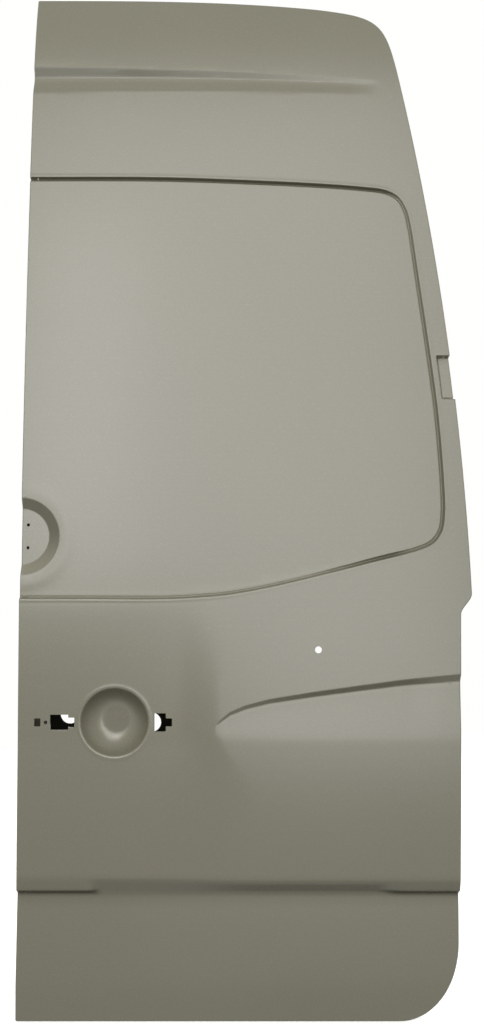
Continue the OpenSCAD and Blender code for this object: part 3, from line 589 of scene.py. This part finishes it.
def material(name, colour, rough, metal=0.0, bump=0.02, scale=900.0, mottle=0.05):
    m = bpy.data.materials.new(name)
    m.use_nodes = True
    nt = m.node_tree
    bsdf = nt.nodes["Principled BSDF"]
    geo = nt.nodes.new("ShaderNodeNewGeometry")
    big = nt.nodes.new("ShaderNodeTexNoise")
    big.inputs["Scale"].default_value = 3.1
    big.inputs["Detail"].default_value = 5.0
    small = nt.nodes.new("ShaderNodeTexNoise")
    small.inputs["Scale"].default_value = scale
    small.inputs["Detail"].default_value = 2.0
    nt.links.new(geo.outputs["Position"], big.inputs["Vector"])
    nt.links.new(geo.outputs["Position"], small.inputs["Vector"])
    tone = nt.nodes.new("ShaderNodeValToRGB")
    low = [c * (1 - mottle) for c in colour] + [1]
    high = [min(1, c * (1 + mottle)) for c in colour] + [1]
    tone.color_ramp.elements[0].position = 0.3
    tone.color_ramp.elements[0].color = low
    tone.color_ramp.elements[1].position = 0.7
    tone.color_ramp.elements[1].color = high
    nt.links.new(big.outputs["Fac"], tone.inputs["Fac"])
    # Painted light: the point attribute darkens the base colour and dims the sheen where it is above 0, and
    # lightens the base colour where it is below 0
    painted_light = nt.nodes.new("ShaderNodeAttribute")
    painted_light.attribute_name = "painted_light"
    painted_shading = nt.nodes.new("ShaderNodeMapRange")
    painted_shading.inputs["From Min"].default_value = -1.0
    painted_shading.inputs["To Min"].default_value = 1.5
    painted_shading.inputs["To Max"].default_value = 0.5
    painted_shading.clamp = False
    nt.links.new(painted_light.outputs["Fac"], painted_shading.inputs["Value"])
    shade = nt.nodes.new("ShaderNodeVectorMath")
    shade.operation = "SCALE"
    nt.links.new(tone.outputs["Color"], shade.inputs[0])
    nt.links.new(painted_shading.outputs["Result"], shade.inputs["Scale"])
    nt.links.new(shade.outputs["Vector"], bsdf.inputs["Base Color"])
    gloss = nt.nodes.new("ShaderNodeMapRange")
    gloss.inputs["To Min"].default_value = 0.65
    gloss.inputs["To Max"].default_value = 0.0
    nt.links.new(painted_light.outputs["Fac"], gloss.inputs["Value"])
    nt.links.new(gloss.outputs["Result"], bsdf.inputs["Specular IOR Level"])
    span = nt.nodes.new("ShaderNodeMapRange")
    span.inputs["To Min"].default_value = rough - 0.04
    span.inputs["To Max"].default_value = rough + 0.05
    nt.links.new(small.outputs["Fac"], span.inputs["Value"])
    nt.links.new(span.outputs["Result"], bsdf.inputs["Roughness"])
    bsdf.inputs["Metallic"].default_value = metal
    b = nt.nodes.new("ShaderNodeBump")
    b.inputs["Strength"].default_value = bump
    b.inputs["Distance"].default_value = 0.001
    nt.links.new(small.outputs["Fac"], b.inputs["Height"])
    nt.links.new(b.outputs["Normal"], bsdf.inputs["Normal"])
    return m


PRIMER = material("primer", (0.193, 0.184, 0.13), 0.26, bump=0.02, mottle=0.025)
MASTIC = material("mastic", (0.03, 0.03, 0.03), 0.6, bump=0.4, scale=250.0, mottle=0.15)
ZINC = material("zinc", (0.5, 0.5, 0.48), 0.35, metal=1.0, bump=0.05, mottle=0.08)

# The outer skin


def skin_sheets(mesh, outline):
    """The outer face and the inner side."""
    points = adaptive(depth, SHEET_LOW, SHEET_HIGH, 16, 4, 0.07)
    points = with_rows(points, FIELD, GROOVE_ROWS, 3)
    points = with_rows(points, SWAGE[::-1], SWAGE_ROWS, 3)
    co, tri = sheet_faces(points, turned_in(outline, RIM_R), SKIN_HOLES)
    x, z = co[:, 0], co[:, 1]
    # The outer face carries the painted shade and painted highlight
    mesh.add(np.c_[x, depth(x, z), z], slope_normals(x, z), tri, painted_light_tone(x, z))
    coarse = adaptive(depth, SHEET_LOW, SHEET_HIGH, 16, 3, 0.15)
    coarse = with_rows(coarse, FIELD, GROOVE_ROWS[::2], 8)
    co, tri = sheet_faces(coarse, turned_in(outline, RIM_R + 1), SKIN_HOLES)
    x, z = co[:, 0], co[:, 1]
    mesh.add(np.c_[x, depth(x, z) + SKIN_T, z], slope_normals(x, z, -1), tri[:, ::-1])


def hole_walls(mesh):
    for hole in SKIN_HOLES:
        y = depth(hole[:, 0], hole[:, 1])
        n = np.roll(hole, -1, 0) - np.roll(hole, 1, 0)
        n = unit(np.c_[-n[:, 1], 0 * n[:, 0], n[:, 0]])
        mesh.strip([np.c_[hole[:, 0], y + k * SKIN_T, hole[:, 1]] for k in (0, 1)], [n, n])


def rim_and_hem(mesh, outline):
    """The rounded rim of the door, and the hem folded in behind it."""
    boundary = turned_in(outline, RIM_R)
    base = depth(boundary[:, 0], boundary[:, 1])
    face = slope_normals(boundary[:, 0], boundary[:, 1])
    out = outline - boundary
    out = unit(np.c_[out[:, 0], 0 * out[:, 0], out[:, 1]])
    back = np.tile([0.0, 1.0, 0.0], (len(outline), 1))
    rows, normals = [], []

    def row(inset, y, n):
        p = turned_in(outline, inset) if inset > 0 else outline
        rows.append(np.c_[p[:, 0], y, p[:, 1]])
        normals.append(unit(n))

    for k in range(5):
        a = math.radians(22.5 * k)
        c, s = math.cos(a), math.sin(a)
        row(RIM_R * (1 - s), base + RIM_R * (1 - c), face * c + out * s)
    for k in range(5):
        a = math.radians(22.5 * k)
        c, s = math.cos(a), math.sin(a)
        row(HEM_R * (1 - c), base + RIM_D + 0.6 - HEM_R * (1 - s), out * c + back * s)
    row(HEM_W - 0.4, base + RIM_D, back - 0.02 * out)
    row(HEM_W, base + RIM_D - 0.25, back - out)
    row(HEM_W, base + RIM_D - SKIN_T, -out + 0.01 * back)
    mesh.strip(rows, normals, turn=True)


def outer_skin():
    mesh = Mesh()
    outline = door_outline()
    skin_sheets(mesh, outline)
    hole_walls(mesh)
    rim_and_hem(mesh, outline)
    return mesh.object("door_skin", PRIMER)


skin = outer_skin()
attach(skin, "root")
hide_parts("outer_skin")


def handle_plate():
    """The sheet behind the skin round the finger dish, pressed to its shape."""
    mesh = Mesh()
    boundary = rectangle(20, 297.4, 435, 603, 24)
    holes = [circle(DISH_X, DISH_Z, 62.5, 60), rectangle(26, 52, 508, 530), rectangle(54, 100, 501, 537),
             rectangle(240, 276, 499, 539)]
    points = np.stack(np.meshgrid(np.arange(24, 296, 9.0), np.arange(439, 600, 9.0)), -1).reshape(-1, 2)
    co, tri = sheet_faces(points, boundary, holes)
    y = depth(co[:, 0], co[:, 1]) + SKIN_T + PLATE_GAP
    n = slope_normals(co[:, 0], co[:, 1])
    mesh.add(np.c_[co[:, 0], y, co[:, 1]], n, tri)
    mesh.add(np.c_[co[:, 0], y + PLATE_T, co[:, 1]], -n, tri[:, ::-1])
    for loop, sign in [(boundary, 1)] + [(h, -1) for h in holes]:
        y = depth(loop[:, 0], loop[:, 1]) + SKIN_T + PLATE_GAP
        d = np.roll(loop, -1, 0) - np.roll(loop, 1, 0)
        n = np.c_[d[:, 1], 0 * d[:, 0], -d[:, 0]] * sign
        n = unit(n)
        mesh.strip([np.c_[loop[:, 0], y + k * PLATE_T, loop[:, 1]] for k in (0, 1)], [n, n], turn=sign > 0)
    return mesh.object("dish_plate", PRIMER)


plate = handle_plate()
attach(plate, "root")
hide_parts("handle_plate")

# The inner panel


BLEND_Z = 930.0
STILE = 102.0


def frame_x(z):
    end = upper_edge_x(BLEND_Z)
    between = HIP_FOOT_W + (end - HIP_FOOT_W) * (z - HIP_FOOT_Z) / (BLEND_Z - HIP_FOOT_Z)
    return np.where(z < HIP_FOOT_Z, lower_edge_x(z), np.where(z < BLEND_Z, between, upper_edge_x(z)))


def frame_loop():
    """Corners of the frame that the walls of the inner panel are measured from."""
    r = 66.0
    a = quarter(15)
    foot_corner = np.c_[r * (1 - np.cos(a)), r * (1 - np.sin(a))]
    x = np.arange(78, 668, 12.0)
    z = np.arange(148, SHOULDER_Z, 6.0)
    hinge = np.c_[frame_x(z), z]
    top_corner = bezier(TOP_CORNER, 34)
    top_x = np.arange(528, 72, -12.0)
    top = np.c_[top_x, top_z(top_x)]
    c = r * (1 - np.sin(a))
    top_left = np.c_[c, top_z(c) - r * (1 - np.cos(a))]
    z = np.arange(1812, 70, -6.0)
    return np.concatenate([foot_corner, np.c_[x, 0 * x], bottom_corner(25), hinge,
                           top_corner, top, top_left, np.c_[0 * z, z]])


def rounded(points, r, n=12):
    """A polygon with all its corners rounded."""
    points, out = np.array(points, float), []
    for before, p, after in zip(np.roll(points, 1, 0), points, np.roll(points, -1, 0)):
        a, b = (v / np.linalg.norm(v) for v in (before - p, after - p))
        half = math.acos(a @ b) / 2
        middle = p + (a + b) / np.linalg.norm(a + b) * r / math.sin(half)
        start, end = p + a * r / math.tan(half) - middle, p + b * r / math.tan(half) - middle
        t = math.atan2(start[1], start[0])
        sweep = math.atan2(start[0] * end[1] - start[1] * end[0], start @ end)
        k = t + sweep * np.linspace(0, 1, n + 1)
        out.append(middle + r * np.c_[np.cos(k), np.sin(k)])
    return np.concatenate(out)


def opening(low, high):
    low_x, high_x = (float(frame_x(np.float64(z))) - STILE for z in (low, high))
    return rounded([(STILE, low), (low_x, low), (high_x, high), (STILE, high)], 40)


WINDOW, MIDDLE, LOWER = opening(832, 1440), opening(572, 700), opening(STILE, 470)
RECESS = opening(1496, 1785)


def pan_y(z):
    """What the faces of the inner panel are set back from."""
    ledge = LEDGE_D * (1 - np.cos(np.pi * np.clip((LEDGE_TOP - z) / (LEDGE_TOP - LEDGE_FOOT), 0, 1))) / 2
    return np.where((z >= LEDGE_FOOT) & (z < LEDGE_TOP), ledge, body_y(z))


def face_y(x, z):
    shape = np.broadcast(x, z).shape
    x, z = (np.broadcast_to(v, shape).astype(float).ravel() for v in (x, z))
    points = np.c_[x, z]
    loop = np.concatenate([RECESS, RECESS[:1]])
    r = np.where(inside(points, RECESS), 1, -1) * away_from(points, loop)
    return (pan_y(z) + FACE_D - 6 * ramp((r + 0.5) / 5, 0.35)).reshape(shape)


def flange_y(x, z):
    return depth(x, z) + SKIN_T + 1.2


def window_flange_y(z):
    return body_y(z) + field_d(z) + 5.9


# Painted shade: how far the front of the inner panel is darkened, nearly to black, seen through the skin's
# holes
INNER_PAINTED_SHADE = 1.85


def pressed_strip(mesh, rows, t=1.0):
    """A strip through rows of corners, and its other side t beneath."""
    grid = np.array(rows)
    along = np.roll(grid, -1, 1) - np.roll(grid, 1, 1)
    n = np.cross(along, np.gradient(grid, axis=0))
    n /= np.maximum(np.linalg.norm(n, axis=2), 1e-9)[:, :, None]
    turn = bool(n[..., 1].sum() < 0)
    n = -n if turn else n
    mesh.strip(list(grid), list(n), turn=turn)
    mesh.strip(list(grid - n * t), list(-n), turn=not turn)


def pressed_sheet(mesh, points, boundary, holes, height, t=1.0):
    """A sheet whose rear face is at that height, and its other side t beneath."""
    co, tri = sheet_faces(points, boundary, holes)
    y = height(co[:, 0], co[:, 1])
    n = slope_normals(co[:, 0], co[:, 1], -1, height)
    mesh.add(np.c_[co[:, 0], y, co[:, 1]], n, tri[:, ::-1])
    # The front side gets the painted shade that darkens it nearly to black
    mesh.add(np.c_[co[:, 0], y - t, co[:, 1]], -n, tri, np.full(len(co), INNER_PAINTED_SHADE))


def row_at(loop, inset, height, lift):
    p = turned_in(loop, inset)
    return np.c_[p[:, 0], height(p[:, 0], p[:, 1]) + lift, p[:, 1]]


def edge_wall(mesh, loop):
    """The wall round the pan, with its seats, bolt holes and cut-outs."""
    p = turned_in(loop, 16)
    p = np.concatenate([p, p[:1]])
    s = np.r_[0, np.cumsum(np.linalg.norm(np.diff(p, axis=0), axis=1))]
    d = np.gradient(p, axis=0)
    d = unit(d)
    low = flange_y(p[:, 0], p[:, 1]) + 2.4 - pan_y(p[:, 1])
    boundary = np.concatenate([np.c_[s, low], np.c_[s, 53 + 0 * s][::-1]])

    def along_z(x, z):
        i = np.argmin(np.hypot(p[:, 0] - x, p[:, 1] - z))
        return float(s[i] + (z - p[i, 1]) * (1 if x > 400 else -1))

    def along_x(x, z):
        i = np.argmin(np.hypot(p[:, 0] - x, p[:, 1] - z))
        return float(s[i] + (x - p[i, 0]) * (1 if z < 900 else -1))

    holes, seats = [], []
    c = along_z(16, 521)
    holes.append(rectangle(c - 35, c + 35, 21.6, 37.6))
    holes += [circle(c + k, 29.6, 4.5, 20) for k in (-50, 50)]
    c = along_z(768, 620)
    holes.append(rectangle(c - 17, c + 17, 21.6, 37.6))
    holes += [circle(c + k, 29.6, 4.5, 20) for k in (-30, 30)]
    for z in (16, 1871):
        c = along_x(110, z)
        holes.append(circle(c, 29.6, 9, 28))
        holes += [circle(c + k, 29.6, 4.5, 20) for k in (-30, 30)]
    holes += [circle(along_x(778 * k, 16), 29.6, 5, 20) for k in (0.35, 0.55, 0.75)]
    for z in HINGE_ZS:
        c = along_z(float(frame_x(np.float64(z))) - 16, z)
        seats.append(c)
        holes += [circle(c + k, 37.2, 4.5, 20) for k in (-20, 20)]
    inner = [np.c_[s, k + 0 * s] for k in (22, 28, 34, 40, 46)]
    for c in seats:
        for k in (-1.2, -0.3, 0.4, 1.1, 1.8, 3):
            ring = rectangle(c - 32 + k, c + 32 - k, 24.2 + k, 50.2 - k, 2)
            inner.append(ring)
            for q in np.arange(-28, 29, 7.0):
                inner.append(np.array([(c + q, 24.2 + k), (c + q, 50.2 - k)]))
            for q in (30, 37, 44):
                inner.append(np.array([(c - 32 + k, q), (c + 32 - k, q)]))
    co, tri = sheet_faces(np.concatenate(inner), boundary, holes, 0.6)

    def out_by(s_at, w):
        out = np.zeros(len(s_at))
        for c in seats:
            out += 4 * ramp(np.minimum(32 - np.abs(s_at - c), 13 - np.abs(w - 37.2)) / 1.8, 0.3)
        return out

    def in_space(q, lift):
        x, z = np.interp(q[:, 0], s, p[:, 0]), np.interp(q[:, 0], s, p[:, 1])
        n = np.c_[np.interp(q[:, 0], s, d[:, 1]), -np.interp(q[:, 0], s, d[:, 0])]
        n = unit(n)
        off = out_by(q[:, 0], q[:, 1]) + lift
        return np.c_[x + n[:, 0] * off, pan_y(z) + q[:, 1], z + n[:, 1] * off], n

    rear, n = in_space(co, 0)
    front, _ = in_space(co, -1)
    e = 0.3
    ws = (out_by(co[:, 0] + e, co[:, 1]) - out_by(co[:, 0] - e, co[:, 1])) / (2 * e)
    wy = (out_by(co[:, 0], co[:, 1] + e) - out_by(co[:, 0], co[:, 1] - e)) / (2 * e)
    normals = np.c_[n[:, 0] + ws * n[:, 1], -wy, n[:, 1] - ws * n[:, 0]]
    normals = unit(normals)
    a, b, c = (rear[tri[:, i]] for i in range(3))
    facing = np.einsum("ij,ij->i", np.cross(b - a, c - a), normals[tri[:, 0]])
    if facing.sum() < 0:
        tri = tri[:, ::-1]
    mesh.add(rear, normals, tri)
    mesh.add(front, -normals, tri[:, ::-1])
    for hole in holes:
        d_hole = hole.mean(0) - hole
        outer, n = in_space(hole, 0)
        under, _ = in_space(hole, -1)
        side = np.c_[-n[:, 1] * d_hole[:, 0], d_hole[:, 1], n[:, 0] * d_hole[:, 0]]
        side = unit(side)
        mesh.strip([outer, under], [side, side])


def inner_panel():
    mesh = Mesh()
    loop = frame_loop()
    # The flange inside the hem
    outer = turned_in(door_outline(), 1.4)
    base = adaptive(flange_y, SHEET_LOW, SHEET_HIGH, 16, 3, 0.15)
    wall_line = turned_in(loop, 13.6)
    pressed_sheet(mesh, base, outer, [wall_line], flange_y)
    # The bend, the wall, the land and the step up to the face
    bend = [row_at(loop, 13.6 + 2.4 * math.sin(a), flange_y, 2.4 * (1 - math.cos(a))) for a in quarter()]
    pressed_strip(mesh, bend)
    edge_wall(mesh, loop)

    def land(x, z):
        return pan_y(z) + LAND_D

    def face(x, z):
        return pan_y(z) + FACE_D

    rows = [row_at(loop, 16 + 3 * (1 - math.cos(a)), land, -3 + 3 * math.sin(a)) for a in quarter()]
    rows += [row_at(loop, k, land, 0) for k in (24, 31)]
    rows += [row_at(loop, 37.6 + 2.4 * math.sin(a), land, 2.4 * (1 - math.cos(a))) for a in quarter()]
    rows += [row_at(loop, 40 + 3 * (1 - math.cos(a)), face, -3 + 3 * math.sin(a)) for a in quarter()]
    pressed_strip(mesh, rows)
    # The face and its openings
    boundary = turned_in(loop, 43)
    closed = np.concatenate([loop, loop[:1]])
    boundary = boundary[away_from(boundary, closed) > 42.6]
    access = [circle(82, 521, ACCESS_R, 48), circle(231, 506, ACCESS_R, 48)]
    points = adaptive(face_y, SHEET_LOW, SHEET_HIGH, 32, 4, 0.15)
    ring = np.concatenate([RECESS, RECESS[:1]])
    points = with_rows(points, ring, (-3, -1, 0, 1, 2, 3, 4, 5, 7), 6)
    openings = [turned_in(q, -3) for q in (WINDOW, MIDDLE, LOWER)]
    pressed_sheet(mesh, points, boundary, openings + access, face_y)
    for q in access:
        y = face_y(q[:, 0], q[:, 1])
        n = np.c_[(q.mean(0) - q)[:, 0], 0 * y, (q.mean(0) - q)[:, 1]] / ACCESS_R
        mesh.strip([np.c_[q[:, 0], y - k, q[:, 1]] for k in (0, 1)], [n, n])
    for q, end in ((MIDDLE, -10), (LOWER, -10)):
        rows = [row_at(q, -3 + 3 * math.sin(a), face_y, -3 * (1 - math.cos(a))) for a in quarter()]
        rows += [row_at(q, 0, face_y, k) for k in (-5, end)]
        pressed_strip(mesh, rows)
        n = np.tile([0.0, -1.0, 0.0], (len(q), 1))
        mesh.strip([row_at(q, k, face_y, end) for k in (0, -1)], [n, n], turn=True)

    def seat(x, z):
        return window_flange_y(z)

    rows = [row_at(WINDOW, -3 + 3 * math.sin(a), face_y, -3 * (1 - math.cos(a))) for a in quarter()]
    p = turned_in(WINDOW, 0)
    top, foot = face_y(p[:, 0], p[:, 1]) - 3, seat(p[:, 0], p[:, 1]) + 2.4
    rows += [np.c_[p[:, 0], top + (foot - top) * k, p[:, 1]] for k in (0.33, 0.67)]
    rows += [row_at(WINDOW, 2.4 * (1 - math.cos(a)), seat, 2.4 * (1 - math.sin(a))) for a in quarter()]
    rows += [row_at(WINDOW, k, seat, 0) for k in (8, 13, 17.9)]
    pressed_strip(mesh, rows)
    n = turned_in(WINDOW, 19) - turned_in(WINDOW, 18)
    n = np.c_[n[:, 0], 0 * n[:, 0], n[:, 1]]
    mesh.strip([row_at(WINDOW, 18, seat, k) for k in (0, -1)], [n, n], turn=True)
    return mesh.object("pressed_panel", PRIMER)


panel = inner_panel()
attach(panel, "root")
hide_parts("inner_panel")


def fitted_plate(name):
    """A plate of the frame, with its front edge kept behind the skin."""
    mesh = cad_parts[name].data.copy()
    co = np.array([v.co[:] for v in mesh.vertices]) / MM + ORIGIN
    co[:, 1] = np.maximum(co[:, 1], depth(co[:, 0], co[:, 2]) + 2.4)
    mesh.vertices.foreach_set("co", place(co).ravel())
    mesh.update()
    mesh.materials.clear()
    mesh.materials.append(PRIMER)
    obj = bpy.data.objects.new(name + "_fitted", mesh)
    bpy.context.scene.collection.objects.link(obj)
    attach(obj, "root")
    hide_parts(name)


for name in sorted(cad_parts):
    if name.endswith("_plate") and name != "handle_plate":
        fitted_plate(name)

for name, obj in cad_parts.items():
    m = MASTIC if "mastic" in name else ZINC if "nuts" in name else PRIMER
    obj.data.materials.clear()
    obj.data.materials.append(m)

# Floor, light and camera


def seen_rays(nt):
    """1 for the rays from the camera and for those in metal and glass."""
    path = nt.nodes.new("ShaderNodeLightPath")
    out = path.outputs["Is Camera Ray"]
    for name in ("Is Transmission Ray", "Is Glossy Ray"):
        both = nt.nodes.new("ShaderNodeMath")
        both.operation = "MAXIMUM"
        nt.links.new(out, both.inputs[0])
        nt.links.new(path.outputs[name], both.inputs[1])
        out = both.outputs["Value"]
    return out


def make_floor():
    """A white floor that fades into the plain background."""
    floor = bpy.data.meshes.new("floor")
    zf = (0 - ORIGIN[2]) * MM - 0.0005
    floor.from_pydata([(-5, -4, zf), (5, -4, zf), (5, 6, zf), (-5, 6, zf)], [], [(0, 1, 2, 3)])
    floor_obj = bpy.data.objects.new("floor", floor)
    bpy.context.scene.collection.objects.link(floor_obj)
    fm = bpy.data.materials.new("floor")
    fm.use_nodes = True
    ft = fm.node_tree
    fb = ft.nodes["Principled BSDF"]
    fb.inputs["Base Color"].default_value = (0.9, 0.9, 0.885, 1)
    fb.inputs["Roughness"].default_value = 0.9
    f_glow = ft.nodes.new("ShaderNodeEmission")
    f_glow.inputs["Color"].default_value = (1, 1, 0.985, 1)
    f_glow.inputs["Strength"].default_value = 0.55
    f_near = ft.nodes.new("ShaderNodeAddShader")
    ft.links.new(fb.outputs["BSDF"], f_near.inputs[0])
    ft.links.new(f_glow.outputs["Emission"], f_near.inputs[1])
    f_far = ft.nodes.new("ShaderNodeEmission")
    f_far.inputs["Color"].default_value = (1, 1, 0.985, 1)
    f_place = ft.nodes.new("ShaderNodeNewGeometry")
    f_length = ft.nodes.new("ShaderNodeVectorMath")
    f_length.operation = "LENGTH"
    ft.links.new(f_place.outputs["Position"], f_length.inputs[0])
    f_fade = ft.nodes.new("ShaderNodeMapRange")
    f_fade.inputs["From Min"].default_value = 1.5
    f_fade.inputs["From Max"].default_value = 2.6
    ft.links.new(f_length.outputs["Value"], f_fade.inputs["Value"])
    f_seen = ft.nodes.new("ShaderNodeMixShader")
    ft.links.new(f_fade.outputs["Result"], f_seen.inputs["Fac"])
    ft.links.new(f_near.outputs["Shader"], f_seen.inputs[1])
    ft.links.new(f_far.outputs["Emission"], f_seen.inputs[2])
    f_dim = ft.nodes.new("ShaderNodeBsdfDiffuse")
    f_dim.inputs["Color"].default_value = (0.12, 0.12, 0.115, 1)
    f_path = ft.nodes.new("ShaderNodeLightPath")
    f_mix = ft.nodes.new("ShaderNodeMixShader")
    ft.links.new(seen_rays(ft), f_mix.inputs["Fac"])
    ft.links.new(f_dim.outputs["BSDF"], f_mix.inputs[1])
    ft.links.new(f_far.outputs["Emission"], f_mix.inputs[2])
    f_all = ft.nodes.new("ShaderNodeMixShader")
    ft.links.new(f_path.outputs["Is Camera Ray"], f_all.inputs["Fac"])
    ft.links.new(f_mix.outputs["Shader"], f_all.inputs[1])
    ft.links.new(f_seen.outputs["Shader"], f_all.inputs[2])
    ft.links.new(f_all.outputs["Shader"], ft.nodes["Material Output"].inputs["Surface"])
    floor.materials.append(fm)


make_floor()


def make_world():
    """A plain background, and a dimmer one that lights the door."""
    world = bpy.data.worlds.new("studio")
    bpy.context.scene.world = world
    world.use_nodes = True
    nt = world.node_tree
    nt.nodes.clear()
    out = nt.nodes.new("ShaderNodeOutputWorld")
    light_bg = nt.nodes.new("ShaderNodeBackground")
    seen_bg = nt.nodes.new("ShaderNodeBackground")
    mix = nt.nodes.new("ShaderNodeMixShader")
    coord = nt.nodes.new("ShaderNodeTexCoord")
    split = nt.nodes.new("ShaderNodeSeparateXYZ")
    shade = nt.nodes.new("ShaderNodeValToRGB")
    seen_bg.inputs["Color"].default_value = (1.0, 1.0, 0.985, 1)
    nt.links.new(coord.outputs["Generated"], split.inputs["Vector"])
    span = nt.nodes.new("ShaderNodeMapRange")
    span.inputs["From Min"].default_value = -1
    span.inputs["From Max"].default_value = 1
    nt.links.new(split.outputs["Z"], span.inputs["Value"])
    nt.links.new(span.outputs["Result"], shade.inputs["Fac"])
    ramp_nodes = shade.color_ramp
    ramp_nodes.elements[0].position = 0.0
    ramp_nodes.elements[0].color = (0.1, 0.1, 0.1, 1)
    ramp_nodes.elements[1].position = 1.0
    ramp_nodes.elements[1].color = (0.55, 0.55, 0.55, 1)
    for pos, v in ((0.42, 0.2), (0.56, 0.62), (0.72, 0.95), (0.86, 0.7)):
        e = ramp_nodes.elements.new(pos)
        e.color = (v, v, v, 1)
    nt.links.new(shade.outputs["Color"], light_bg.inputs["Color"])
    light_bg.inputs["Strength"].default_value = 0.2
    nt.links.new(seen_rays(nt), mix.inputs["Fac"])
    nt.links.new(light_bg.outputs["Background"], mix.inputs[1])
    nt.links.new(seen_bg.outputs["Background"], mix.inputs[2])
    nt.links.new(mix.outputs["Shader"], out.inputs["Surface"])


make_world()


def area(name, at, aim, size, power):
    data = bpy.data.lights.new(name, "AREA")
    data.shape = "RECTANGLE"
    data.size, data.size_y = size
    data.energy = power
    obj = bpy.data.objects.new(name, data)
    obj.location = at
    obj.rotation_euler = (Vector(aim) - Vector(at)).to_track_quat("-Z", "Y").to_euler()
    obj.visible_camera = False
    bpy.context.scene.collection.objects.link(obj)


area("key", (-0.5, -2.8, 1.47), (-0.5, 0, 1.47), (2.5, 3.66), 90)
area("low", (0.13, -2.8, -0.66), (0.13, 0, -0.66), (1.3, 0.6), 8)
area("left", (-1.15, -2.75, 1.0), (-1.0, 0, 1.0), (0.5, 2.2), 8)
area("back", (-0.3, 3.0, 0.5), (-0.3, 0, -0.1), (2.6, 2.4), 85)
area("lock side", (-3.2, 0.9, 0.3), (-0.6, 0, -0.1), (1.6, 2.2), 26)
area("hinge side", (2.6, 0.9, 0.3), (0, 0, -0.1), (1.6, 2.2), 26)


def make_camera():
    cam = bpy.data.cameras.new("camera")
    cam.sensor_fit = "VERTICAL"
    cam.sensor_height = 24.0
    cam.lens = 24.0 * 1024.9 / 1024
    cam_obj = bpy.data.objects.new("camera", cam)
    cam_obj.location = (-0.3712, -1.8999, -0.2451)
    cam_obj.rotation_euler = (math.radians(90), 0, 0)
    bpy.context.scene.collection.objects.link(cam_obj)
    bpy.context.scene.camera = cam_obj


make_camera()


bpy.context.scene.view_settings.view_transform = "Standard"
